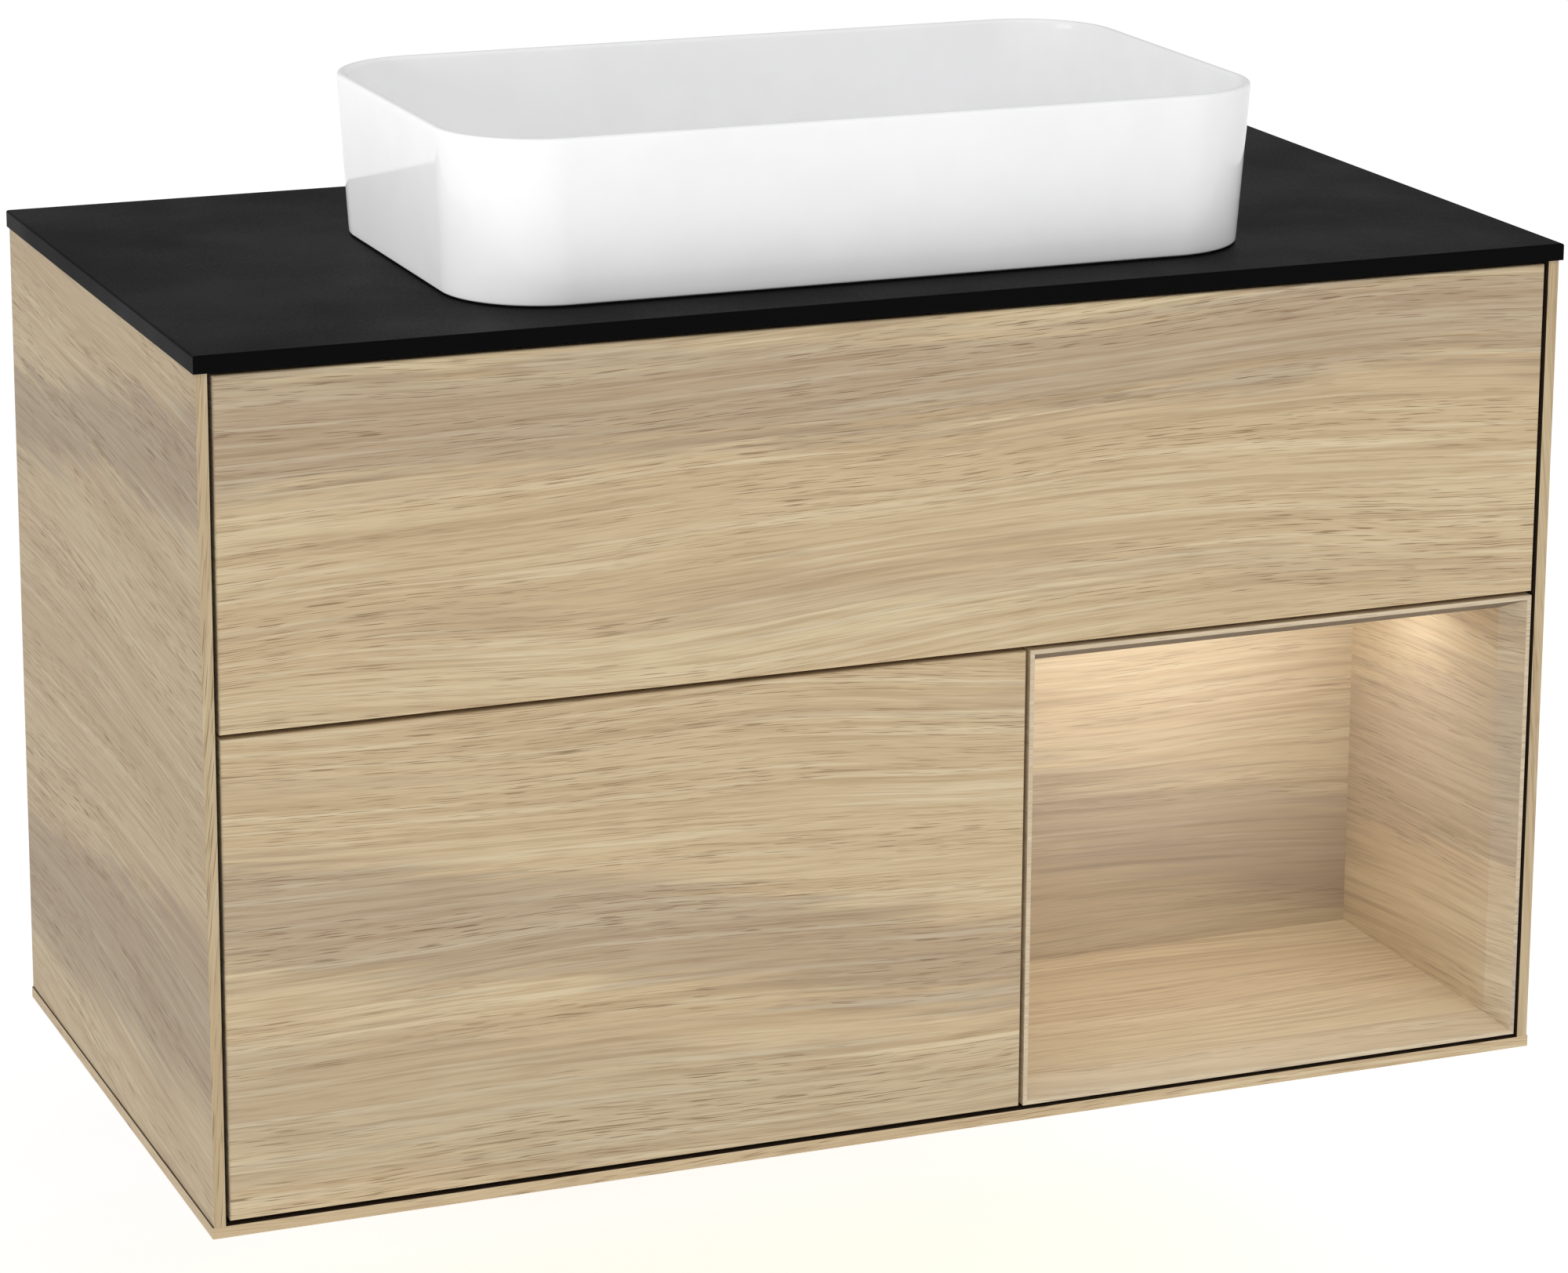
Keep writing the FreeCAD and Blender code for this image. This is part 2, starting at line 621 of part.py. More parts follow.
def make_niche():
    """The open niche: five boards behind the mitred frame, with a lit groove in the ceiling."""
    make_niche_trims()
    inside = ("niche_in_floor", "niche_in_top")
    along = ("step_y", "niche_back_y")
    board("niche_side_left", ("niche_left", "niche_in_left"), along, inside)
    board("niche_side_right", ("niche_in_right", "inner_half"), along, inside)
    board("niche_floor", ("niche_left", "inner_half"), along, ("deck_z", "niche_in_floor"))
    board("niche_back", ("niche_left", "inner_half"), ("niche_back_y", "niche_back_y + niche_back_thick"),
          ("deck_z", "mid_base"))

    light_x = ("niche_in_left + led_end_gap", "niche_in_right - led_end_gap")
    light_y = ("led_y - led_wide / 2", "led_y + led_wide / 2")
    light_z = ("niche_in_top", "niche_in_top + led_high")
    ceiling = block("niche_top_blank", ("niche_left", "inner_half"), along, ("niche_in_top", "mid_base"))
    groove = block("niche_top_groove", light_x, light_y, ("niche_in_top - 1", light_z[1]))
    piece(carved("niche_top", ceiling, [groove]), "niche_top")

    shell = block("led_profile_blank", light_x, light_y, light_z)
    channel = block("led_profile_channel", (light_x[0] + " + led_wall", light_x[1] + " - led_wall"),
                    (light_y[0] + " + led_wall", light_y[1] + " - led_wall"),
                    ("niche_in_top - 1", light_z[1] + " - led_wall"))
    piece(carved("led_profile", shell, [channel]), "led_profile")
    board("led_diffuser", (light_x[0] + " + led_wall", light_x[1] + " - led_wall"),
          (light_y[0] + " + led_wall", light_y[1] + " - led_wall"),
          ("niche_in_top", "niche_in_top + led_cover"))

    driver_end = "niche_left + driver_inset + driver_long"
    driver_top = "mid_base - driver_inset"
    box = block("led_driver_box", ("niche_left + driver_inset", driver_end),
                ("back_y - driver_deep", "back_y"), (f"{driver_top} - driver_high", driver_top))
    gland = rod("led_driver_gland", "gland_radius",
                (driver_end, "back_y - driver_deep / 2", f"{driver_top} - driver_high / 2"),
                "gland_long", "x")
    piece(joined("led_driver", [box, gland]), "led_driver")


# ---------------------------------------------------------------- basin and waste

def make_basin():
    """The thin-walled vessel basin: two lofts, one for its outside and one for its bowl."""
    body = doc.addObject("PartDesign::Body", "basin")
    foot = sketch_on(body, "basin_foot_outline")
    rounded_rectangle(foot, "basin_foot_long", "basin_foot_wide", "basin_corner")
    rim = sketch_on(body, "basin_rim_outline", height="basin_high")
    rounded_rectangle(rim, "basin_long", "basin_wide", "basin_corner")
    outside = body.newObject("PartDesign::AdditiveLoft", "basin_outside")
    outside.Profile = foot
    outside.Sections = [rim]
    outside.Ruled = True

    inner_corner = "basin_corner - basin_wall"
    slope = "(basin_long - basin_foot_long) * basin_floor / basin_high"
    floor = sketch_on(body, "bowl_floor_outline", height="basin_floor")
    rounded_rectangle(floor, f"basin_foot_long - 2 * basin_wall + {slope}",
                      f"basin_foot_wide - 2 * basin_wall + {slope}", inner_corner)
    mouth = sketch_on(body, "bowl_mouth_outline", height="basin_high")
    rounded_rectangle(mouth, "basin_long - 2 * basin_wall", "basin_wide - 2 * basin_wall", inner_corner)
    bowl = body.newObject("PartDesign::SubtractiveLoft", "basin_bowl")
    bowl.Profile = floor
    bowl.Sections = [mouth]
    bowl.Ruled = True

    level = value_of("basin_floor")
    high = value_of("basin_high")
    curve = soften(body, bowl, "bowl_round", lambda middle: abs(middle.z - level) < 0.01, "bowl_floor_round")
    lip = soften(body, curve, "rim_round", lambda middle: abs(middle.z - high) < 0.01, "basin_rim_round")
    soften(body, lip, "foot_round", lambda middle: abs(middle.z) < 0.01, "basin_foot_edge")

    for name, radius, depth in (("basin_recess", "flange_radius + recess_clear", "recess_deep"),
                                ("basin_bore", "tail_radius + bore_clear", "basin_floor + 1")):
        circle = sketch_on(body, name + "_circle", height="basin_floor")
        circle.addGeometry(Part.Circle(FreeCAD.Vector(), FreeCAD.Vector(0, 0, 1), value_of(radius)), False)
        circle.addConstraint(Sketcher.Constraint("Coincident", 0, 3, -1, 1))
        number = circle.addConstraint(Sketcher.Constraint("Radius", 0, value_of(radius)))
        circle.setExpression(f"Constraints[{number}]", ex(radius))
        pocket = body.newObject("PartDesign::Pocket", name)
        pocket.Profile = circle
        pocket.setExpression("Length", ex(depth))
    seat(body, y="basin_y", z="basin_z")
    piece(body, "basin")


def make_basin_seal():
    """A closed ring of silicone just inside the edge of the basin's foot."""
    body = doc.addObject("PartDesign::Body", "basin_seal")
    ring = sketch_on(body, "basin_seal_outline")
    rounded_rectangle(ring, "basin_foot_long - 4 * seal_inset", "basin_foot_wide - 4 * seal_inset",
                      "basin_corner - 2 * seal_inset")
    pad = body.newObject("PartDesign::Pad", "basin_seal_pad")
    pad.Profile = ring
    pad.setExpression("Length", ex("seal_thick"))
    inner = sketch_on(body, "basin_seal_hole", height="seal_thick")
    rounded_rectangle(inner, "basin_foot_long - 4 * seal_inset - 2 * seal_wide",
                      "basin_foot_wide - 4 * seal_inset - 2 * seal_wide",
                      "basin_corner - 2 * seal_inset - seal_wide")
    pocket = body.newObject("PartDesign::Pocket", "basin_seal_pocket")
    pocket.Profile = inner
    pocket.setExpression("Length", ex("seal_thick + 1"))
    seat(body, y="basin_y", z="top_z")
    piece(body, "basin_seal")


def make_waste():
    """The click waste: flanged body with its guide, gaskets, back nut and plug."""
    tube = turned("drain_tube", [
        ("tail_bore", "flange_z + flange_thick - flange_bevel"),
        ("tail_bore + flange_bevel", "flange_z + flange_thick"),
        ("flange_radius - flange_bevel", "flange_z + flange_thick"),
        ("flange_radius", "flange_z + flange_thick - flange_bevel"),
        ("flange_radius", "flange_z"), ("tail_radius", "flange_z"),
        ("tail_radius", "tail_end_z"), ("tail_bore", "tail_end_z"),
    ])
    guide_z = ("flange_z - guide_drop - guide_high", "flange_z - guide_drop")
    reach = "(tail_bore + tail_radius) / 2"
    half_web = "guide_web / 2"
    webs = [
        block("drain_web_across", (f"-{reach}", reach),
              (f"basin_y - {half_web}", f"basin_y + {half_web}"), guide_z),
        block("drain_web_along", (f"-{half_web}", half_web),
              (f"basin_y - {reach}", f"basin_y + {reach}"), guide_z),
        rod("drain_boss", "2 * stem_radius", ("0", "basin_y", guide_z[0]), "guide_high", "z"),
    ]
    bore = rod("drain_guide_bore", "stem_radius + stem_play", ("0", "basin_y", f"{guide_z[0]} - 1"),
               "guide_high + 2", "z")
    piece(carved("drain_body", joined("drain_whole", [tube] + webs), [bore]), "drain_body")

    inner = "tail_radius + slip_play"
    outer = "flange_radius - flange_bevel"
    base = "flange_z - gasket_thick"
    upper = turned("drain_gasket_upper", [
        (inner, base), (outer, base), (outer, "flange_z"), (inner, "flange_z"),
    ])
    outer = "worktop_hole + washer_lap"
    base = "under_z - washer_thick"
    lower = turned("drain_gasket_lower", [
        (inner, base), (outer, base), (outer, "under_z"), (inner, "under_z"),
    ])
    piece(grouped("drain_gaskets", [upper, lower]), "drain_gaskets")
    make_nut("drain_backnut", 6, "tail_radius + nut_wall", "under_z - washer_thick - nut_high", "nut_high")

    plug_base = "flange_z + flange_thick + plug_lift"
    plug_radius = "flange_radius - plug_inset"
    plug = turned("drain_plug", [
        ("0", "flange_z - stem_long"), ("stem_radius", "flange_z - stem_long"), ("stem_radius", plug_base),
        (f"{plug_radius} - 1", plug_base), (plug_radius, f"{plug_base} + 1"),
        (plug_radius, f"{plug_base} + plug_edge"),
        (f"{plug_radius} - 2", f"{plug_base} + plug_edge + plug_crown / 2"),
        (f"({plug_radius}) / 2", f"{plug_base} + plug_edge + plug_crown * 0.85"),
        ("0", f"{plug_base} + plug_edge + plug_crown"),
    ])
    piece(plug, "drain_plug")


def make_nut(label, sides, radius, base, high):
    """A many-sided nut on the waste's tail."""
    prism = doc.addObject("Part::Prism", label + "_blank")
    prism.Polygon = sides
    prism.setExpression("Circumradius", ex(radius))
    prism.setExpression("Height", ex(high))
    seat(prism, "0", "basin_y", base)
    bore = rod(label + "_bore", "tail_radius + slip_play", ("0", "basin_y", f"{base} - 1"),
               f"{high} + 2", "z")
    piece(carved(label, prism, [bore]), label)


def make_slip_nut(label, start, along):
    """A ribbed slip nut: a twelve-sided cap over a threaded end, with a smaller hole for the pipe."""
    prism = doc.addObject("Part::Prism", label + "_blank")
    prism.Polygon = 12
    prism.setExpression("Circumradius", ex("tail_radius + slip_nut_wall"))
    prism.setExpression("Height", ex("slip_nut_high"))
    turn = {"z": FreeCAD.Rotation(), "-y": FreeCAD.Rotation(FreeCAD.Vector(1, 0, 0), 90)}[along]
    prism.Placement = FreeCAD.Placement(FreeCAD.Vector(), turn)
    seat(prism, *start)
    wide_start = list(start)
    pipe_start = list(start)
    if along == "z":
        wide_start[2] = f"{start[2]} + slip_nut_cap"
        pipe_start[2] = f"{start[2]} - 1"
    else:
        wide_start[1] = f"{start[1]} - slip_nut_cap"
        pipe_start[1] = f"{start[1]} + 1"
    wide = rod(label + "_thread", "tail_radius + slip_play", wide_start, "slip_nut_high", along)
    pipe = rod(label + "_hole", "trap_pipe_radius + slip_play", pipe_start, "slip_nut_high", along)
    piece(carved(label, prism, [wide, pipe]), label)


def make_trap():
    """The bottle trap under the basin, from the waste's tail to the outlet pipe at the wall."""
    make_slip_nut("trap_inlet_nut", ("0", "basin_y", "tail_end_z - slip_nut_lap"), "z")
    inner = "trap_pipe_radius - trap_pipe_wall"
    slip = "trap_pipe_radius + slip_play"
    collar = "tail_radius - slip_play"
    collar_z = ("tail_end_z - slip_play", "tail_end_z - slip_play - collar_thick")
    piece(turned("trap_inlet_tube", [
        (inner, collar_z[0]), (collar, collar_z[0]), (collar, collar_z[1]), ("trap_pipe_radius", collar_z[1]),
        ("trap_pipe_radius", "bottle_base_z + bottle_shoulder"), (inner, "bottle_base_z + bottle_shoulder"),
    ]), "trap_inlet_tube")

    neck = "trap_pipe_radius + bottle_neck"
    hollow = "bottle_radius - bottle_wall"
    shoulder_z = "bottle_top_z - bottle_neck - bottle_shoulder"
    shell = turned("trap_bottle_shell", [
        (slip, "bottle_top_z"), (neck, "bottle_top_z"), (neck, "bottle_top_z - bottle_neck"),
        ("bottle_radius", shoulder_z), ("bottle_radius", "bottle_base_z"), (hollow, "bottle_base_z"),
        (hollow, f"{shoulder_z} - bottle_wall"), (slip, f"{shoulder_z} + bottle_wall"),
    ])
    boss = rod("trap_bottle_boss", "tail_radius", ("0", "outlet_end_y", "outlet_z"),
               "outlet_boss + bottle_wall", "-y")
    socket = rod("trap_bottle_socket", slip, ("0", "outlet_end_y + 1", "outlet_z"),
                 "outlet_boss + 3 * bottle_wall", "-y")
    piece(carved("trap_bottle", joined("trap_bottle_whole", [shell, boss]), [socket]), "trap_bottle")

    cup_radius = "bottle_radius + cup_wall"
    seat_z = "bottle_base_z - slip_play"
    floor_z = "cup_base_z + cup_wall"
    piece(turned("trap_cup", [
        ("0", "cup_base_z"), (f"{cup_radius} - cup_chamfer", "cup_base_z"),
        (cup_radius, "cup_base_z + cup_chamfer"), (cup_radius, "cup_top_z"),
        ("bottle_radius + slip_play", "cup_top_z"), ("bottle_radius + slip_play", seat_z), (hollow, seat_z),
        (hollow, "cup_base_z + cup_chamfer"), (f"{hollow} - cup_chamfer + cup_wall", floor_z), ("0", floor_z),
    ]), "trap_cup")

    tube = rod("trap_outlet_tube", "trap_pipe_radius", ("0", "0", "outlet_z"),
               "-basin_y - bottle_radius - bottle_wall", "-y")
    bead = rod("trap_outlet_bead", "trap_pipe_radius + bead_high", ("0", "-spigot_long", "outlet_z"),
               "bead_wide", "-y")
    outer = joined("trap_outlet_outer", [tube, bead])
    bore = rod("trap_outlet_bore", inner, ("0", "1", "outlet_z"), "2 - basin_y", "-y")
    piece(carved("trap_outlet_pipe", outer, [bore]), "trap_outlet_pipe")
    make_slip_nut("trap_outlet_nut", ("0", "outlet_end_y + slip_nut_lap", "outlet_z"), "-y")


# ---------------------------------------------------------------- drawers and runners

def channel(name, face, inward, near, far, high, web_near, height, setback="0"):
    """A runner member: a channel along Y with its web at the near or the far side.

    Distances run from the panel's face into the cabinet; inward is +1 where that is +X.
    The setback is left between the back of the front and the member's front end.
    """
    def at(distance):
        sign = "+" if inward > 0 else "-"
        return f"{face} {sign} ({distance})"

    half = f"({high}) / 2"
    outer = block(name + "_outer", (at(near), at(far)) if inward > 0 else (at(far), at(near)),
                  (f"front_back_y + {setback}", "front_back_y + runner_long"),
                  (f"{height} - {half}", f"{height} + {half}"))
    if web_near:
        low, top = f"{near} + runner_gauge", f"{far} + 1"
    else:
        low, top = f"{near} - 1", f"{far} - runner_gauge"
    hollow = block(name + "_hollow", (at(low), at(top)) if inward > 0 else (at(top), at(low)),
                   ("front_back_y - 1", "front_back_y + runner_long + 1"),
                   (f"{height} - {half} + runner_gauge", f"{height} + {half} - runner_gauge"))
    return outer, hollow


def make_runners():
    """Three-member telescopic runners, their screws and the push-to-open units, for both drawers."""
    step = "(runner_gauge + runner_play)"
    screws = []
    units = []
    for drawer in ("upper", "lower"):
        members = {"cabinet": [], "middle": [], "drawer": []}
        for name, face, along, height in RUNNERS:
            if not name.startswith(drawer):
                continue
            inward = 1 if along == "-x" else -1
            outer, hollow = channel(f"{name}_cabinet", face, inward, "0", f"runner_wide - {step}",
                                    "runner_high", True, height, "press_gap")
            tools = [hollow]
            for number, spot in enumerate(RUNNER_SPOTS, start=1):
                web_face = f"{face} {'+' if inward > 0 else '-'} runner_gauge"
                tools.append(rod(f"{name}_web_hole_{number}", "screw_head + screw_play",
                                 (web_face, spot, height), "2 * runner_gauge", along))
                head = rod(f"{name}_head_{number}", "screw_head", (web_face, spot, height),
                           "runner_gauge + screw_sink", along)
                shank = rod(f"{name}_shank_{number}", "screw_shank", (web_face, spot, height),
                            "runner_gauge + screw_long", along)
                screws.append(joined(f"{name}_screw_{number}", [head, shank]))
            members["cabinet"].append(carved(f"{name}_cabinet_rail", outer, tools))

            outer, hollow = channel(f"{name}_middle", face, inward, step, f"runner_wide - {step}",
                                    f"runner_high - 2 * {step}", True, height, "press_gap")
            members["middle"].append(carved(f"{name}_middle_rail", outer, [hollow]))
            outer, hollow = channel(f"{name}_drawer", face, inward, f"2 * {step}", "runner_wide",
                                    f"runner_high - 4 * {step}", False, height)
            members["drawer"].append(carved(f"{name}_drawer_rail", outer, [hollow]))

            near, far = (face, f"{face} + release_wide") if inward > 0 else (f"{face} - release_wide", face)
            top = f"{height} - runner_high / 2 - release_gap"
            units.append(block(f"{name}_release", (near, far), ("box_back_y - release_long", "box_back_y"),
                               (f"{top} - release_high", top)))
        for member, rails in members.items():
            label = f"{drawer}_{member}_rails"
            piece(grouped(label, rails), label)
    piece(grouped("runner_screws", screws), "runner_screws")
    piece(grouped("release_units", units), "release_units")


def angle(name, corner, leg_x, other):
    """A small angle bracket.  One leg lies along X; the other points along -Z or +Y from the corner."""
    x, y, z = corner
    half = "bracket_wide / 2"

    def span(start, sign, length):
        return (start, f"{start} + {length}") if sign > 0 else (f"{start} - {length}", start)

    if other == "z":
        width = (f"{y} - {half}", f"{y} + {half}")
        flat = block(name + "_flat", span(x, leg_x, "bracket_leg"), width, (f"{z} - bracket_gauge", z))
        tall = block(name + "_tall", span(x, leg_x, "bracket_gauge"), width, (f"{z} - bracket_leg", z))
    else:
        width = (f"{z} - {half}", f"{z} + {half}")
        flat = block(name + "_flat", span(x, leg_x, "bracket_leg"), (y, f"{y} + bracket_gauge"), width)
        tall = block(name + "_tall", span(x, leg_x, "bracket_gauge"), (y, f"{y} + bracket_leg"), width)
    return joined(name, [flat, tall])


def make_front(label, x, z):
    """A drawer front with softly rounded edges."""
    piece(slab(label, x, ("body_front", "front_back_y"), z, "front_round", on_front), label)


def make_upper_drawer():
    """The wide upper drawer, cut out at the back round the trap."""
    make_front("upper_front", ("-front_half", "front_half"), ("upper_front_base", "upper_front_top"))
    long_way = ("front_back_y", "box_back_y")
    tall = ("upper_box_base", "upper_box_top")
    inner = "upper_box_half - drawer_side_thick"
    board("upper_drawer_side_left", ("-upper_box_half", f"-({inner})"), long_way, tall)
    board("upper_drawer_side_right", (inner, "upper_box_half"), long_way, tall)
    back_y = ("box_back_y - drawer_side_thick", "box_back_y")
    backs = [block("upper_back_left", (f"-({inner})", "-siphon_outer"), back_y, tall),
             block("upper_back_right", ("siphon_outer", inner), back_y, tall)]
    piece(grouped("upper_drawer_backs", backs), "upper_drawer_backs")
    piece(extruded("upper_drawer_bottom", [
        (f"-({inner})", "front_back_y"), (inner, "front_back_y"),
        (inner, back_y[0]), ("siphon_outer", back_y[0]),
        ("siphon_outer", "siphon_out_y"), ("-siphon_outer", "siphon_out_y"),
        ("-siphon_outer", back_y[0]), (f"-({inner})", back_y[0]),
    ], "drawer_base_thick", z="upper_box_base + drawer_base_rise"), "upper_drawer_bottom")
    piece(extruded("siphon_surround", [
        ("-siphon_outer", "box_back_y"), ("-siphon_outer", "siphon_out_y"),
        ("siphon_outer", "siphon_out_y"), ("siphon_outer", "box_back_y"),
        ("siphon_half", "box_back_y"), ("siphon_half", "siphon_in_y"),
        ("-siphon_half", "siphon_in_y"), ("-siphon_half", "box_back_y"),
    ], "upper_side_high - drawer_base_rise", z="upper_box_base + drawer_base_rise"), "siphon_surround")
    brackets = []
    for name, x, leg in (("left", f"-({inner})", 1), ("right", inner, -1)):
        heights = ("upper_box_base + bracket_rise", "upper_box_top - bracket_fall")
        for number, height in enumerate(heights, start=1):
            brackets.append(angle(f"upper_bracket_{name}_{number}", (x, "front_back_y", height), leg, "y"))
    piece(grouped("upper_front_brackets", brackets), "upper_front_brackets")


def make_lower_drawer():
    """The deep lower drawer beside the niche."""
    make_front("lower_front", ("-front_half", "lower_front_right"), ("lower_base", "mid_base"))
    long_way = ("front_back_y", "box_back_y")
    tall = ("lower_box_base", "lower_box_top")
    inner_left = "lower_box_left + drawer_side_thick"
    inner_right = "lower_box_right - drawer_side_thick"
    board("lower_drawer_side_left", ("lower_box_left", inner_left), long_way, tall)
    board("lower_drawer_side_right", (inner_right, "lower_box_right"), long_way, tall)
    board("lower_drawer_back", (inner_left, inner_right),
          ("box_back_y - drawer_side_thick", "box_back_y"), tall)
    board("lower_drawer_bottom", (inner_left, inner_right),
          ("front_back_y", "box_back_y - drawer_side_thick"),
          ("lower_box_base + drawer_base_rise", "lower_box_base + drawer_base_rise + drawer_base_thick"))
    brackets = []
    for name, x, leg in (("left", inner_left, 1), ("right", inner_right, -1)):
        heights = ("lower_box_base + bracket_rise", "lower_box_top - bracket_fall")
        for number, height in enumerate(heights, start=1):
            brackets.append(angle(f"lower_bracket_{name}_{number}", (x, "front_back_y", height), leg, "y"))
    piece(grouped("lower_front_brackets", brackets), "lower_front_brackets")


# ---------------------------------------------------------------- wall fixings

def make_hangers():
    """Cabinet hangers, the wall plates that they hook on, and the brackets that hold the worktop."""
    hangers = []
    plates = []
    brackets = []
    for name, side in (("left", -1), ("right", 1)):
        def across(low, high):
            return (low, high) if side > 0 else (f"-({high})", f"-({low})")

        case = block(f"hanger_{name}_case", across("inner_half - hanger_wide", "inner_half"),
                     ("-back_inset - hanger_deep", "-back_inset"),
                     ("hanger_base", "hanger_base + hanger_high"))
        tongue_x = across("inner_half - hanger_wide + hook_inset", "inner_half - hook_inset")
        arm = block(f"hanger_{name}_arm", tongue_x,
                    ("-back_inset", "-plate_gauge - hook_play"), ("hook_top_z", "hook_top_z + hook_inset"))
        tip = block(f"hanger_{name}_tip", tongue_x,
                    ("plate_gauge + hook_play - hook_reach", "-plate_gauge - hook_play"),
                    ("hook_top_z - hook_high + plate_gauge + hook_play", "hook_top_z"))
        hangers.append(joined(f"hanger_{name}", [case, arm, tip]))

        plate_x = across("plate_x - plate_wide / 2", "plate_x + plate_wide / 2")
        flat = block(f"plate_{name}_flat", plate_x, ("-plate_gauge", "0"),
                     ("-plate_high / 2", "plate_high / 2"))
        ledge = block(f"plate_{name}_ledge", tongue_x, ("-hook_reach", "-plate_gauge"),
                      ("hook_top_z - hook_high", "hook_top_z - hook_high + plate_gauge"))
        lip = block(f"plate_{name}_lip", tongue_x, ("-hook_reach", "plate_gauge - hook_reach"),
                    ("hook_top_z - hook_high", "hook_top_z - hook_play"))
        holes = [rod(f"plate_{name}_hole_{number}", "plate_hole",
                     ("plate_x" if side > 0 else "-plate_x", "1", height), "plate_gauge + 2", "-y")
                 for number, height in enumerate(("plate_hole_half", "-plate_hole_half"), start=1)]
        plates.append(carved(f"plate_{name}", joined(f"plate_{name}_bent", [flat, ledge, lip]), holes))

        face = "inner_half" if side > 0 else "-inner_half"
        for number, y in enumerate(("-bracket_setback", "step_y + front_rail_deep + bracket_rise"), start=1):
            brackets.append(angle(f"worktop_bracket_{name}_{number}", (face, y, "under_z"), -side, "z"))
    piece(grouped("cabinet_hangers", hangers), "cabinet_hangers")
    piece(grouped("wall_plates", plates), "wall_plates")
    piece(grouped("worktop_brackets", brackets), "worktop_brackets")


# ---------------------------------------------------------------- build, check and write

def check_and_write():
    """Refuse a failed document, then write each sub-part."""
    doc.recompute()
    for obj in doc.Objects:
        if "Invalid" in obj.State or "Error" in obj.State:
            raise RuntimeError(f"{obj.Label} failed: {obj.State}")
    for obj in PIECES:
        if obj.Shape.isNull() or not obj.Shape.isValid():
            raise RuntimeError(f"{obj.Label} has no valid shape")
        if not obj.Shape.Solids:
            raise RuntimeError(f"{obj.Label} has no solid")
    os.makedirs("parts", exist_ok=True)
    for obj in PIECES:
        obj.Shape.exportStep(os.path.join("parts", obj.Label + ".step"))
        print(f"{obj.Label}: {len(obj.Shape.Solids)} solid(s), {obj.Shape.Volume / 1000:.1f} cm3")
    print(len(PIECES), "sub-parts")


fill_sheets()
make_worktop()
make_side_panels()
make_panels()
make_niche()
make_basin()
make_basin_seal()
make_waste()
make_trap()
make_runners()
make_upper_drawer()
make_lower_drawer()
make_hangers()
check_and_write()
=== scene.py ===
"""Looks of a wall-hung vanity with a vessel basin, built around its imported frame.

Lengths are in metres in the frame's own axes: X to the right, Z up, the wall is the plane y = 0.
Boards keep their CAD meshes and get their finishes here; the basin, the waste, the trap's nuts,
the runner screws and the small housings are built anew and stand for their CAD nodes.
"""

from __future__ import annotations

import json
import logging
import math
from dataclasses import dataclass, field
from enum import Enum

import bmesh
import bpy
from mathutils import Matrix, Vector

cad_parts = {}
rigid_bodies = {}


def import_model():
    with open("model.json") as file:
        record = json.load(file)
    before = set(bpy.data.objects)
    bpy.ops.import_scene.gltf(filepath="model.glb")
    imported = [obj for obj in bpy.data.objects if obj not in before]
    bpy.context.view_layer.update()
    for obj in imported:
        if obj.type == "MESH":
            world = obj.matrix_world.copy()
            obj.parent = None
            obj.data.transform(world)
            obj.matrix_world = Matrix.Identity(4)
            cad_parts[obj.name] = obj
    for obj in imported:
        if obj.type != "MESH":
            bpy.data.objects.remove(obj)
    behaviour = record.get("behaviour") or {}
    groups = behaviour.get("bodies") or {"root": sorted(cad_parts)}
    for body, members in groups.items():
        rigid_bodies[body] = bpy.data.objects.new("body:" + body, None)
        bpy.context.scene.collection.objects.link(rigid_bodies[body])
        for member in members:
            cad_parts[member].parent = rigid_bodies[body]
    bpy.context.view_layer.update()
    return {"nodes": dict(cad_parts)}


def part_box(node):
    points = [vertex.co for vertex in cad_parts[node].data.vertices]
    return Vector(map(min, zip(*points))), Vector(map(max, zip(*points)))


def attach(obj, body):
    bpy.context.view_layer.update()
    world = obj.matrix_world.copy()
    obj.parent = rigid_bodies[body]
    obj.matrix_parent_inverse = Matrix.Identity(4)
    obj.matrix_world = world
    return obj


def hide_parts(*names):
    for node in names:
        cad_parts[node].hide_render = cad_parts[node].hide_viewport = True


log = logging.getLogger("vanity")
Point = tuple[float, float, float]
Paint = tuple[float, float, float, float]
Socket = bpy.types.NodeSocket
Thing = bpy.types.Object
Nodes = dict[str, bpy.types.Object]
Feed = Socket | float | Point | Paint

WELD = 1e-6        # points this near each other are one
FACE_TURN = 0.6    # part of a face's normal along an axis from which the face looks that way


# ---------------------------------------------------------------- colour and node helpers

def srgb(red: int, green: int, blue: int) -> Paint:
    """Turn a display colour into the linear colour that shaders use.

    Args:
        red: Red, from 0 to 255.
        green: Green, from 0 to 255.
        blue: Blue, from 0 to 255.

    Returns:
        The linear colour with an alpha of 1.
    """
    def linear(value: int) -> float:
        """Undo the display curve for one channel."""
        share = value / 255
        return share / 12.92 if share <= 0.04045 else ((share + 0.055) / 1.055) ** 2.4

    return (linear(red), linear(green), linear(blue), 1.0)


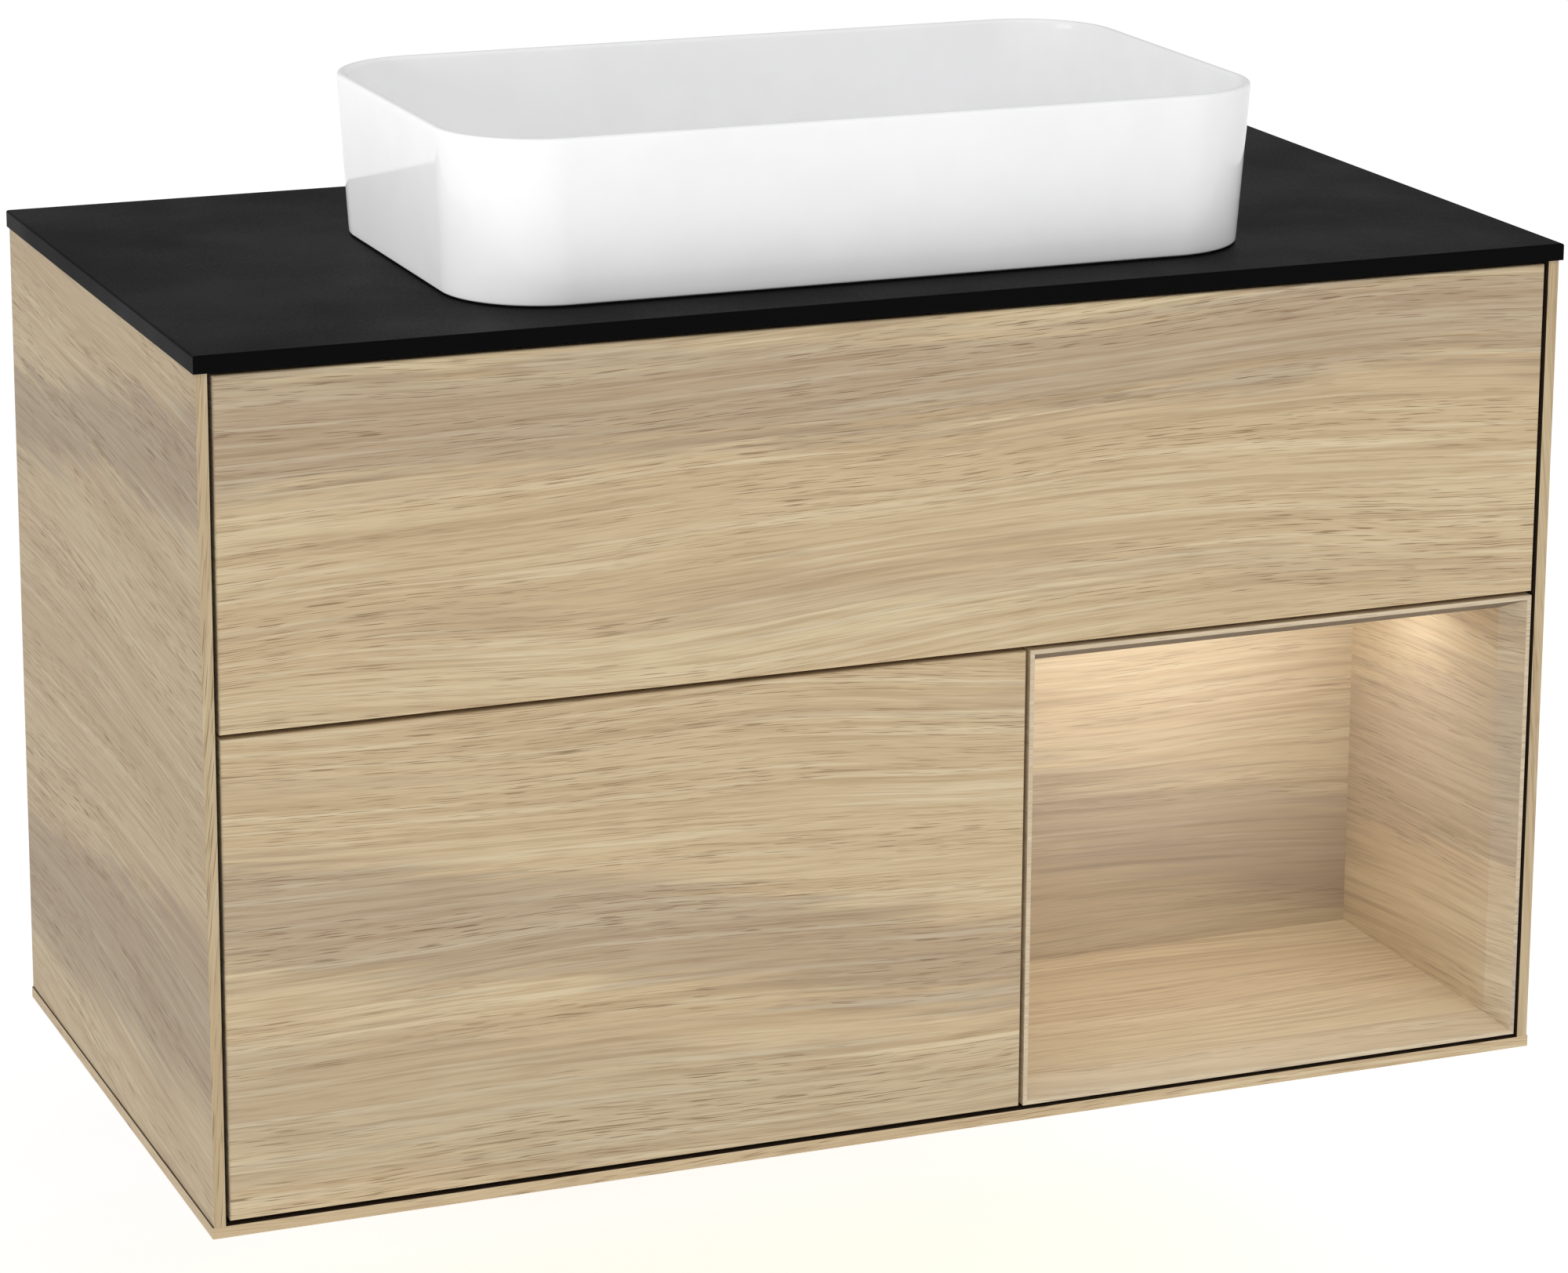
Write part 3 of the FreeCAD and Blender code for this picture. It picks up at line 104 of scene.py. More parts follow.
class Graph:
    """A node tree with short calls for the nodes that the finishes and rules here use."""

    def __init__(self, tree: bpy.types.NodeTree) -> None:
        """Keep the tree to add to."""
        self.tree = tree

    def node(self, kind: str, inputs: dict | None = None, **settings: object) -> bpy.types.Node:
        """Add a node.

        Args:
            kind: The node's type name.
            inputs: Values or sockets by input name or index; a socket is linked.
            **settings: The node's own settings.

        Returns:
            The new node.
        """
        node = self.tree.nodes.new(kind)
        for name, value in settings.items():
            setattr(node, name, value)
        self.fill(node, inputs or {})
        return node

    def fill(self, node: bpy.types.Node, inputs: dict) -> None:
        """Feed several inputs of a node, by name or index."""
        for key, value in inputs.items():
            self.feed(node.inputs[key], value)

    def feed(self, socket: Socket, value: Feed) -> None:
        """Link a socket to another, or set its value.

        Args:
            socket: The input to feed.
            value: A socket to link, or the value to set.
        """
        if isinstance(value, Socket):
            self.tree.links.new(value, socket)
        else:
            socket.default_value = value

    def math(self, operation: str, *values: Feed) -> Socket:
        """Add a Math node in shader or geometry trees.

        Args:
            operation: The node's operation.
            *values: Numbers or sockets, in the order of its inputs.

        Returns:
            The result's socket.
        """
        node = self.node("ShaderNodeMath", operation=operation)
        for socket, value in zip(node.inputs, values):
            self.feed(socket, value)
        return node.outputs[0]

    def span(self, value: Socket, low: float, high: float, start: float = 0.0,
             end: float = 1.0) -> Socket:
        """Map a value smoothly from one range to another.

        Args:
            value: The socket to map.
            low: The value that gives start.
            high: The value that gives end.
            start: The result at or under low.
            end: The result at or over high.

        Returns:
            The result's socket.
        """
        inputs = {"Value": value, "From Min": low, "From Max": high, "To Min": start, "To Max": end}
        node = self.node("ShaderNodeMapRange", inputs, interpolation_type="SMOOTHSTEP")
        return node.outputs["Result"]

    def noise(self, vector: Socket, scales: Point, detail: float = 2.0,
              rough: float = 0.5) -> Socket:
        """Sample noise on coordinates that are stretched first.

        Args:
            vector: The coordinates' socket, in metres.
            scales: Grains per metre along each axis.
            detail: The noise's detail.
            rough: The noise's roughness.

        Returns:
            The noise's value socket, from 0 to 1.
        """
        stretched = self.node("ShaderNodeVectorMath", {0: vector, 1: scales}, operation="MULTIPLY")
        noise = self.node("ShaderNodeTexNoise", {"Vector": stretched.outputs[0], "Scale": 1.0,
                                                 "Detail": detail, "Roughness": rough})
        return noise.outputs["Fac"]

    def mix(self, factor: Feed, first: Feed, second: Feed, blend: str = "MIX") -> Socket:
        """Mix two colours.

        Args:
            factor: Share of the second colour.
            first: First colour or socket.
            second: Second colour or socket.
            blend: How the two are blended.

        Returns:
            The mixed colour's socket.
        """
        node = self.node("ShaderNodeMix", data_type="RGBA", blend_type=blend)
        self.fill(node, {0: factor, 6: first, 7: second})
        return node.outputs[2]


def new_material(name: str) -> tuple[bpy.types.Material, Graph, bpy.types.Node]:
    """Make an empty node material.

    Args:
        name: The material's name.

    Returns:
        The material, its graph and its Principled shader.
    """
    material = bpy.data.materials.new(name)
    material.use_nodes = True
    return material, Graph(material.node_tree), material.node_tree.nodes["Principled BSDF"]


# ---------------------------------------------------------------- finishes

class Grain(Enum):
    """Which way the grain runs on a face: the axes along it, across it and through it."""

    WIDE = ("X", "Z", "Y")
    DEEP = ("Y", "Z", "X")
    FLAT = ("X", "Y", "Z")
    FLAT_DEEP = ("Y", "X", "Z")
    UPRIGHT = ("Z", "X", "Y")


class Cut(Enum):
    """How a board is cut from its veneer: its grain on faces turned to front, side and top."""

    ACROSS = (Grain.WIDE, Grain.DEEP, Grain.FLAT)
    PANEL = (Grain.UPRIGHT, Grain.DEEP, Grain.FLAT_DEEP)


class ShadedSide(Enum):
    """The side of a board that is given painted shade: right, left, top or underside."""

    NONE = (0.0, 0.0)
    RIGHT = (1.0, 0.0)
    LEFT = (-1.0, 0.0)
    TOP = (0.0, 1.0)
    UNDER = (0.0, -1.0)


@dataclass(frozen=True)
class Cloud:
    """A broad greyish band in the veneer.

    Attributes:
        level: Height of its middle where the grain's coordinate is 0.
        slope: How much it rises per metre along the grain.
        half: Half its width.
        strength: How much it colours the wood.
    """

    level: float
    slope: float
    half: float
    strength: float = 1.0


@dataclass(frozen=True)
class Strokes:
    """Fine strokes along the grain, laid over the colour where their noise is high.

    Attributes:
        tone: The veneer's field that holds their colour.
        scales: Strokes per metre along, across and through the grain.
        detail: The noise's detail.
        rough: The noise's roughness.
        low: Noise at which a stroke starts.
        high: Noise at which it has its full share.
        share: How much it covers there.
    """

    tone: str
    scales: Point
    detail: float
    rough: float
    low: float
    high: float
    share: float


# The veneer's noises: grains per metre along, across and through the grain, then the detail.
WAVE = ((1.3, 3.0, 2.0), 1.5)
GROUND = ((1.4, 22, 3), 3.0)
PORES = ((30, 1250, 90), 1.0)
PORE_SIZES = ((2.2, 30, 8), 2.0)
COMB = ((7, 140, 20), 2.0)
WANDER = ((2.4, 7, 3), 2.0)
# The last of the strokes are the fibres, which give the surface its relief as well.
STROKES = (Strokes("streak", (1.7, 120, 20), 3.0, 0.6, 0.50, 0.70, 0.45),
           Strokes("streak", (5.5, 300, 40), 3.0, 0.6, 0.50, 0.66, 0.5),
           Strokes("ray", (3.6, 190, 26), 2.0, 0.5, 0.52, 0.68, 0.58),
           Strokes("fibre", (18, 760, 60), 2.0, 0.5, 0.45, 0.7, 0.5))


@dataclass(frozen=True)
class OakVeneer:
    """Light matt oak veneer with wavy streaks, pores and broad greyish bands.

    Attributes:
        name: The material's name.
        cut: The way the grain runs on its faces.
        shift: Offset that gives each board its own stretch of veneer.
        drift: How much the streaks fall per metre along the grain.
        clouds: Its broad greyish bands, at heights in the frame.
        inside: The side given painted shade.
        wash: Share of the wash colour in its colour.
        pale: Light ground colour.
        warm: Warmer ground colour.
        streak: Colour of the dark streaks.
        fibre: Colour of the fine fibres.
        pore: Colour of the pores.
        cloud: What the colour is multiplied by in the greyish bands.
        ray: Colour of the light streaks.
        wash_colour: Colour mixed in by the wash; a brown-grey painted shade on the side panels.
        painted_shade: Colour of the painted shade on that side.
        wave: How far the grain wanders, in metres.
        comb: How far the bands' edges fray.
        soft: How far the bands wander.
        rough: Roughness between the pores and in them.
        specular: Strength of its reflection.
    """

    name: str
    cut: Cut
    shift: Point = (0.0, 0.0, 0.0)
    drift: float = 0.02
    clouds: tuple[Cloud, ...] = ()
    inside: ShadedSide = ShadedSide.NONE
    wash: float = 0.0
    pale: Paint = srgb(219, 199, 161)
    warm: Paint = srgb(208, 184, 146)
    streak: Paint = srgb(176, 149, 113)
    fibre: Paint = srgb(190, 164, 127)
    pore: Paint = srgb(142, 115, 82)
    cloud: Paint = (0.74, 0.73, 0.79, 1.0)
    ray: Paint = srgb(229, 213, 178)
    wash_colour: Paint = srgb(222, 212, 196)
    # Near-black brown, painted as shade on inner faces seen through the gaps.
    painted_shade: Paint = srgb(58, 46, 36)
    wave: float = 0.11
    comb: float = 0.085
    soft: float = 0.06
    rough: tuple[float, float] = (0.52, 0.72)
    specular: float = 0.32

    def material(self) -> bpy.types.Material:
        """Build the veneer's material.

        Returns:
            The material.
        """
        material, graph, shader = new_material(self.name)
        places = graph.node("ShaderNodeTexCoord").outputs["Object"]
        normal = graph.node("ShaderNodeNewGeometry").outputs["True Normal"]
        facing = graph.node("ShaderNodeSeparateXYZ", {0: normal}).outputs
        along, across, through = self.axes(graph, places, facing)
        wave = graph.noise(self.join(graph, along, across, through), *WAVE)
        wave = graph.math("MULTIPLY", graph.math("SUBTRACT", wave, 0.5), self.wave)
        level = graph.math("MULTIPLY_ADD", graph.math("SUBTRACT", along, self.shift[0]), self.drift,
                           graph.math("ADD", across, wave))
        spot = self.join(graph, along, level, through)

        colour = graph.mix(graph.span(graph.noise(spot, *GROUND), 0.34, 0.66), self.warm, self.pale)
        for strokes in STROKES:
            fibres = graph.noise(spot, strokes.scales, strokes.detail, strokes.rough)
            cover = graph.span(fibres, strokes.low, strokes.high, 0.0, strokes.share)
            colour = graph.mix(cover, colour, getattr(self, strokes.tone))
        dots = graph.math("MULTIPLY", graph.span(graph.noise(spot, *PORES), 0.58, 0.68),
                          graph.span(graph.noise(spot, *PORE_SIZES), 0.40, 0.6, 0.15, 0.8))
        colour = graph.mix(dots, colour, self.pore)
        comb = graph.noise(spot, *COMB)
        for cloud in self.clouds:
            mask = self.cloud_mask(graph, cloud, spot, comb)
            colour = graph.mix(mask, colour, self.cloud, "MULTIPLY")
        # The wash mixes in its colour; on the side panels it is painted shade.
        if self.wash:
            colour = graph.mix(self.wash, colour, self.wash_colour)
        # Faces turned to that side get painted shade: inner faces seen through the gaps, and the
        # trim's underside.
        if self.inside is not ShadedSide.NONE:
            sideways, upwards = self.inside.value
            turned = graph.math("MULTIPLY_ADD", facing["X"], sideways,
                                graph.math("MULTIPLY", facing["Z"], upwards))
            colour = graph.mix(graph.math("GREATER_THAN", turned, FACE_TURN), colour, self.painted_shade)
        height = graph.math("MULTIPLY_ADD", dots, -1.0, graph.math("MULTIPLY", fibres, 0.4))
        bump = graph.node("ShaderNodeBump",
                          {"Strength": 0.22, "Distance": 0.0003, "Height": height})
        graph.fill(shader, {"Base Color": colour, "Normal": bump.outputs[0],
                            "Roughness": graph.span(dots, 0.0, 1.0, *self.rough),
                            "Specular IOR Level": self.specular})
        return material

    def axes(self, graph: Graph, places: Socket, facing: bpy.types.NodeOutputs) -> list[Socket]:
        """Give the coordinates along, across and through the grain, in metres.

        Args:
            graph: The material's graph.
            places: The object coordinates' socket.
            facing: The parts of the face's normal.

        Returns:
            The three sockets.
        """
        parts = graph.node("ShaderNodeSeparateXYZ", {0: places}).outputs
        front, side, top = ([parts[axis] for axis in grain.value] for grain in self.cut.value)
        to_front = graph.math("GREATER_THAN", graph.math("ABSOLUTE", facing["Y"]), FACE_TURN)
        to_side = graph.math("GREATER_THAN", graph.math("ABSOLUTE", facing["X"]), FACE_TURN)
        sockets = [self.choose(graph, to_side, *pair) for pair in zip(top, side)]
        sockets = [self.choose(graph, to_front, *pair) for pair in zip(sockets, front)]
        return [graph.math("ADD", socket, offset) for socket, offset in zip(sockets, self.shift)]

    @staticmethod
    def choose(graph: Graph, factor: Feed, first: Feed, second: Feed) -> Socket:
        """Mix two numbers by a factor."""
        node = graph.node("ShaderNodeMix", {0: factor, 2: first, 3: second}, data_type="FLOAT")
        return node.outputs[0]

    @staticmethod
    def join(graph: Graph, along: Socket, across: Socket, through: Socket) -> Socket:
        """Make one vector of the three coordinates."""
        return graph.node("ShaderNodeCombineXYZ", {0: along, 1: across, 2: through}).outputs[0]

    def cloud_mask(self, graph: Graph, cloud: Cloud, spot: Socket, comb: Socket) -> Socket:
        """Give the share of a greyish band at each place, with a combed edge.

        Args:
            graph: The material's graph.
            cloud: The band.
            spot: The grain's coordinates.
            comb: Fine noise that frays the band's edges along the grain.

        Returns:
            The socket of the share.
        """
        parts = graph.node("ShaderNodeSeparateXYZ", {0: spot}).outputs
        middle = graph.math("MULTIPLY_ADD", parts["X"], cloud.slope,
                            cloud.level - self.shift[0] * cloud.slope + self.shift[1])
        soft = graph.noise(spot, *WANDER)
        away = graph.math("ABSOLUTE", graph.math("SUBTRACT", parts["Y"], middle))
        away = graph.math("MULTIPLY_ADD", graph.math("SUBTRACT", comb, 0.5), self.comb, away)
        away = graph.math("MULTIPLY_ADD", graph.math("SUBTRACT", soft, 0.5), self.soft, away)
        return graph.span(away, cloud.half * 0.55, cloud.half * 1.35, cloud.strength * 0.8, 0.0)


# The noise between which a coating drifts from one colour and gloss to the other.
MOTTLING = (0.36, 0.64)


@dataclass(frozen=True)
class Coating:
    """An even coating or moulding with a little mottling in colour, gloss and surface.

    Attributes:
        name: The material's name.
        colour: Its colour.
        second: The colour it drifts to.
        rough: Roughness.
        grain: Grains per metre of its mottling.
        relief: Height of its surface texture.
        metal: Metallic share.
        specular: Strength of its reflection.
        brushed: True if the texture is drawn out along Y.
        glow: Emission colour, or None.
        glow_strength: Emission strength.
    """

    name: str
    colour: Paint
    second: Paint
    rough: float
    grain: float = 120.0
    relief: float = 0.00005
    metal: float = 0.0
    specular: float = 0.5
    brushed: bool = False
    glow: Paint | None = None
    glow_strength: float = 0.0

    def material(self) -> bpy.types.Material:
        """Build the coating's material.

        Returns:
            The material.
        """
        material, graph, shader = new_material(self.name)
        places = graph.node("ShaderNodeTexCoord").outputs["Object"]
        pull = 0.04 if self.brushed else 1.0
        scales = (self.grain, self.grain * pull, self.grain)
        fine = graph.noise(places, scales, 3.0)
        broad = graph.noise(places, (9, 9, 9), 2.0)
        both = graph.math("MULTIPLY_ADD", fine, 0.5, graph.math("MULTIPLY", broad, 0.5))
        low, high = max(0.02, self.rough * 0.88), min(1.0, self.rough * 1.12)
        bump = graph.node("ShaderNodeBump",
                          {"Strength": 0.3, "Distance": self.relief, "Height": fine})
        graph.fill(shader, {
            "Base Color": graph.mix(graph.span(both, *MOTTLING), self.colour, self.second),
            "Roughness": graph.span(both, *MOTTLING, low, high), "Normal": bump.outputs[0],
            "Metallic": self.metal, "Specular IOR Level": self.specular})
        if self.glow:
            graph.fill(shader, {"Emission Color": self.glow,
                                "Emission Strength": self.glow_strength})
        return material


WORKTOP = Coating("worktop_black", srgb(7, 7, 8), srgb(10, 10, 11), 0.5, 900, 0.00003,
                  specular=0.03)
CERAMIC = Coating("white_glaze", srgb(250, 250, 250), srgb(247, 247, 248), 0.07, 30, 0.00002,
                  specular=0.16)
CARCASS = Coating("dark_carcass_board", srgb(122, 104, 84), srgb(112, 95, 76), 0.5, 260, 0.0001)
BOX_BOARD = Coating("anthracite_board", srgb(92, 90, 88), srgb(84, 82, 80), 0.5, 300, 0.0001)
SILICONE = Coating("dark_silicone", srgb(62, 62, 62), srgb(56, 56, 56), 0.45, 200)
RUBBER = Coating("black_rubber", srgb(48, 48, 48), srgb(42, 42, 42), 0.7, 400, 0.0001)
CHROME = Coating("chrome", srgb(228, 228, 231), srgb(222, 222, 226), 0.05, 60, 0.00001, metal=1.0)
BRASS = Coating("turned_brass", srgb(206, 180, 120), srgb(192, 164, 104), 0.24, 500, metal=1.0)
TRAP = Coating("white_plastic", srgb(236, 236, 233), srgb(230, 230, 227), 0.3, 160)
ZINC = Coating("zinc_steel", srgb(196, 198, 200), srgb(178, 181, 184), 0.3, 420, metal=1.0,
               brushed=True)
SCREW = Coating("screw_steel", srgb(178, 178, 180), srgb(160, 160, 163), 0.32, 600, metal=1.0)
HANGER = Coating("hanger_steel", srgb(186, 187, 189), srgb(166, 168, 171), 0.36, 300, metal=1.0)
HOUSING = Coating("dark_grey_moulding", srgb(112, 112, 115), srgb(104, 104, 107), 0.5, 700, 0.0001)
SURROUND = Coating("anthracite_moulding", srgb(100, 100, 100), srgb(92, 92, 92), 0.45, 600, 0.0001)
ALUMINIUM = Coating("anodised_aluminium", srgb(214, 214, 217), srgb(204, 204, 208), 0.34, 500,
                    metal=1.0, brushed=True)
OPAL = Coating("opal_diffuser", srgb(250, 243, 230), srgb(247, 240, 226), 0.5, 200,
               glow=srgb(255, 240, 216), glow_strength=1.2)
DRIVER = Coating("white_housing", srgb(231, 231, 228), srgb(224, 224, 221), 0.45, 500, 0.0001)

FRONT_CLOUDS = (Cloud(0.028, 0.0, 0.040), Cloud(-0.130, -0.06, 0.010, 0.4))
LOW_CLOUDS = (Cloud(-0.411, -0.18, 0.036), Cloud(-0.505, -0.10, 0.045, 0.7),
              Cloud(-0.215, 0.05, 0.008, 0.4))
SIDE_CLOUDS = (Cloud(-0.080, -0.20, 0.034, 1.3), Cloud(-0.440, -0.165, 0.055, 1.35))

# Brown-grey wash that darkens the side panels: painted shade.
SIDE_PAINTED_SHADE = srgb(130, 108, 78)
# Grey painted shade for the top trim's downward face.
TRIM_SHADE = srgb(118, 106, 92)
NICHE_WALL_CLOUD = Cloud(-0.415, -0.14, 0.075, 1.25)
NICHE_FINISH = {"wash": 0.3, "streak": srgb(152, 124, 90)}


def niche_oak(name: str, start: float, offset: float, drift: float, *clouds: Cloud) -> OakVeneer:
    """Give the paler, more marked veneer of a niche board.

    Args:
        name: The material's name.
        start: The board's place along the veneer.
        offset: The board's place across the veneer.
        drift: How much the streaks fall per metre along the grain.
        *clouds: Its broad greyish bands.

    Returns:
        The veneer.
    """
    return OakVeneer(name, Cut.ACROSS, (start, offset, 0.0), drift, clouds, **NICHE_FINISH)


VENEERS: dict[str, OakVeneer] = {
    "upper_front": OakVeneer("oak_upper_front", Cut.ACROSS, (0.7, 0.2, 0.0), 0.0, FRONT_CLOUDS),
    "lower_front": OakVeneer("oak_lower_front", Cut.ACROSS, (2.3, 0.9, 0.0), 0.02, LOW_CLOUDS),
    # Their inner faces, and the bottom panel's top, get painted shade so the gaps read dark.
    "side_panel_left": OakVeneer("oak_side_left", Cut.PANEL, (1.2, 0.4, 0.0), -0.05, SIDE_CLOUDS,
                                 ShadedSide.RIGHT, 0.22, wash_colour=SIDE_PAINTED_SHADE),
    "side_panel_right": OakVeneer("oak_side_right", Cut.PANEL, (4.1, 0.4, 0.0), 0.05, SIDE_CLOUDS,
                                  ShadedSide.LEFT, 0.22, wash_colour=SIDE_PAINTED_SHADE),
    "bottom_panel": OakVeneer("oak_bottom", Cut.ACROSS, (5.0, 2.1, 0.0), 0.0, (), ShadedSide.TOP),
    "niche_back": niche_oak("oak_niche_back", 6.3, 0.9, 0.05, Cloud(-0.335, -0.18, 0.050, 1.25),
                            Cloud(-0.45, -0.1, 0.09, 0.8)),
    "niche_side_left": niche_oak("oak_niche_left", 7.7, 1.3, 0.03, Cloud(-0.330, 0.02, 0.035)),
    "niche_side_right": niche_oak("oak_niche_right", 8.9, 0.9, 0.04, NICHE_WALL_CLOUD),
    "niche_floor": niche_oak("oak_niche_floor", 9.4, 3.0, 0.02),
    "niche_top": niche_oak("oak_niche_top", 10.2, 3.8, 0.02),
    # Its downward face gets painted shade.
    "niche_trim_top": OakVeneer("oak_trim_top", Cut.ACROSS, (11.0, 0.3, 0.0), 0.01, (),
                                ShadedSide.UNDER, 0.3, painted_shade=TRIM_SHADE),
    "niche_trim_bottom": OakVeneer("oak_trim_bottom", Cut.ACROSS, (12.0, 0.5, 0.0), 0.01, wash=0.3),
    "niche_trim_left": OakVeneer("oak_trim_left", Cut.ACROSS, (13.0, 0.7, 0.0), 0.03, wash=0.3),
    "niche_trim_right": niche_oak("oak_trim_right", 8.9, 0.9, 0.04, NICHE_WALL_CLOUD),
}

COATINGS: dict[Coating, tuple[str, ...]] = {
    WORKTOP: ("worktop",),
    CARCASS: ("mid_panel", "divider_panel", "front_top_rail", "back_panel", "rear_top_rail"),
    BOX_BOARD: ("upper_drawer_side_left", "upper_drawer_side_right", "upper_drawer_backs",
                "upper_drawer_bottom", "lower_drawer_side_left", "lower_drawer_side_right",
                "lower_drawer_back", "lower_drawer_bottom"),
    SILICONE: ("basin_seal",),
    RUBBER: ("drain_gaskets",),
    CHROME: ("drain_body",),
    BRASS: ("drain_backnut",),
    TRAP: ("trap_inlet_tube", "trap_bottle", "trap_cup", "trap_outlet_pipe"),
    ZINC: ("upper_cabinet_rails", "lower_cabinet_rails", "upper_middle_rails", "lower_middle_rails",
           "upper_drawer_rails", "lower_drawer_rails", "wall_plates", "worktop_brackets",
           "upper_front_brackets", "lower_front_brackets"),
    HANGER: ("cabinet_hangers",),
    SURROUND: ("siphon_surround",),
    ALUMINIUM: ("led_profile",),
    OPAL: ("led_diffuser",),
}


# ---------------------------------------------------------------- mesh helpers

def linked(name: str, data: bpy.types.ID) -> Thing:
    """Put a mesh, light or camera in the scene as an object.

    Args:
        name: The object's name.
        data: Its mesh, light or camera.

    Returns:
        The object, at the origin.
    """
    thing = bpy.data.objects.new(name, data)
    bpy.context.scene.collection.objects.link(thing)
    return thing


def mesh_object(name: str, points: list[Point], faces: list[tuple[int, ...]]) -> Thing:
    """Make a mesh object at the origin.

    Args:
        name: The object's name.
        points: Its vertices.
        faces: Its faces.

    Returns:
        The object, linked to the scene.
    """
    mesh = bpy.data.meshes.new(name)
    mesh.from_pydata(points, [], faces)
    mesh.update()
    return linked(name, mesh)


def lathe(name: str, profile: list[tuple[float, float]], centre: Point, steps: int = 64) -> Thing:
    """Turn a closed profile of (radius, height) points about a vertical axis.

    Args:
        name: The object's name.
        profile: The points; a radius of 0 makes a pole.
        centre: Where the axis meets height 0.
        steps: Segments round the axis.

    Returns:
        A closed mesh object with outward faces.
    """
    shape = bmesh.new()
    rings = []
    for radius, height in profile:
        count = 1 if radius == 0 else steps
        rings.append([shape.verts.new((centre[0] + radius * math.cos(math.tau * i / steps),
                                       centre[1] + radius * math.sin(math.tau * i / steps),
                                       centre[2] + height)) for i in range(count)])
    pairs = list(zip(rings, rings[1:]))
    if profile[0][0] and profile[-1][0]:
        pairs.append((rings[-1], rings[0]))
    for low, high in pairs:
        if len(low) == len(high) == 1:
            continue
        for i in range(steps):
            corners = [low[i % len(low)], low[(i + 1) % len(low)], high[(i + 1) % len(high)],
                       high[i % len(high)]]
            shape.faces.new(list(dict.fromkeys(corners)))
    bmesh.ops.recalc_face_normals(shape, faces=shape.faces)
    mesh = bpy.data.meshes.new(name)
    shape.to_mesh(mesh)
    shape.free()
    return linked(name, mesh)


def smooth(thing: Thing, angle: float = 35.0) -> None:
    """Shade smooth, with edges sharper than the angle kept crisp.

    Args:
        thing: The object.
        angle: The angle in degrees.
    """
    mesh = thing.data
    mesh.shade_smooth()
    mesh.set_sharp_from_angle(angle=math.radians(angle))


def rounded_copy(node: Thing, width: float) -> Thing:
    """Copy a CAD node's mesh, merge it and round its edges.

    Args:
        node: The CAD node.
        width: The bevel's width.

    Returns:
        The new object, which isn't yet riding on a body.
    """
    mesh = node.data.copy()
    shape = bmesh.new()
    shape.from_mesh(mesh)
    bmesh.ops.remove_doubles(shape, verts=shape.verts, dist=WELD)
    bmesh.ops.dissolve_limit(shape, angle_limit=math.radians(1), verts=shape.verts,
                             edges=shape.edges)
    sharp = [edge for edge in shape.edges
             if len(edge.link_faces) == 2 and edge.calc_face_angle(0) > math.radians(40)]
    bmesh.ops.bevel(shape, geom=sharp, offset=width, segments=3, profile=0.5, affect="EDGES",
                    clamp_overlap=True)
    shape.to_mesh(mesh)
    shape.free()
    mesh.materials.clear()
    return linked(node.name + "_rounded", mesh)


def islands(node: Thing) -> list[tuple[Vector, Vector]]:
    """Give the box of each separate solid in a CAD node's mesh.

    Args:
        node: The CAD node.

    Returns:
        The lowest and highest corner of each, in a steady order.
    """
    shape = bmesh.new()
    shape.from_mesh(node.data)
    bmesh.ops.remove_doubles(shape, verts=shape.verts, dist=WELD)
    left = set(shape.verts)
    boxes = []
    while left:
        stack = [left.pop()]
        found = []
        while stack:
            vert = stack.pop()
            found.append(vert.co.copy())
            for edge in vert.link_edges:
                other = edge.other_vert(vert)
                if other in left:
                    left.remove(other)
                    stack.append(other)
        low = Vector(min(p[i] for p in found) for i in range(3))
        high = Vector(max(p[i] for p in found) for i in range(3))
        boxes.append((low, high))
    shape.free()
    return sorted(boxes, key=lambda pair: tuple(pair[0]))


# ---------------------------------------------------------------- geometry rules

class Rule:
    """A Geometry Nodes tree with named inputs, made in the script and run once per piece."""

    def __init__(self, name: str, inputs: dict[str, str]) -> None:
        """Start the tree.

        Args:
            name: The tree's name.
            inputs: Socket types by input name, apart from the geometry.
        """
        self.tree = bpy.data.node_groups.new(name, "GeometryNodeTree")
        ends = self.tree.interface
        ends.new_socket("Geometry", in_out="INPUT", socket_type="NodeSocketGeometry")
        ends.new_socket("Geometry", in_out="OUTPUT", socket_type="NodeSocketGeometry")
        self.keys = {label: ends.new_socket(label, in_out="INPUT", socket_type=kind).identifier
                     for label, kind in inputs.items()}
        self.graph = Graph(self.tree)
        self.source = self.tree.nodes.new("NodeGroupInput").outputs

    def close(self, geometry: Socket) -> None:
        """End the tree: real geometry, with its material set.

        Args:
            geometry: The socket of the finished geometry.
        """
        real = self.graph.node("GeometryNodeRealizeInstances", {0: geometry})
        dressed = self.graph.node("GeometryNodeSetMaterial", {"Geometry": real.outputs[0],
                                                              "Material": self.source["Material"]})
        end = self.tree.nodes.new("NodeGroupOutput")
        self.tree.links.new(dressed.outputs[0], end.inputs[0])

    def run(self, name: str, seed: Thing, values: dict) -> Thing:
        """Run the tree on an object and keep the result as a plain mesh.

        Args:
            name: The piece's name.
            seed: The object whose mesh goes in; it is removed.
            values: The inputs by name.

        Returns:
            The piece.
        """
        modifier = seed.modifiers.new("rule", "NODES")
        modifier.node_group = self.tree
        for label, value in values.items():
            modifier[self.keys[label]] = value
        graph = bpy.context.evaluated_depsgraph_get()
        mesh = bpy.data.meshes.new_from_object(seed.evaluated_get(graph), depsgraph=graph)
        mesh.name = name
        piece = linked(name, mesh)
        seed.modifiers.remove(modifier)
        bpy.data.objects.remove(seed)
        return piece


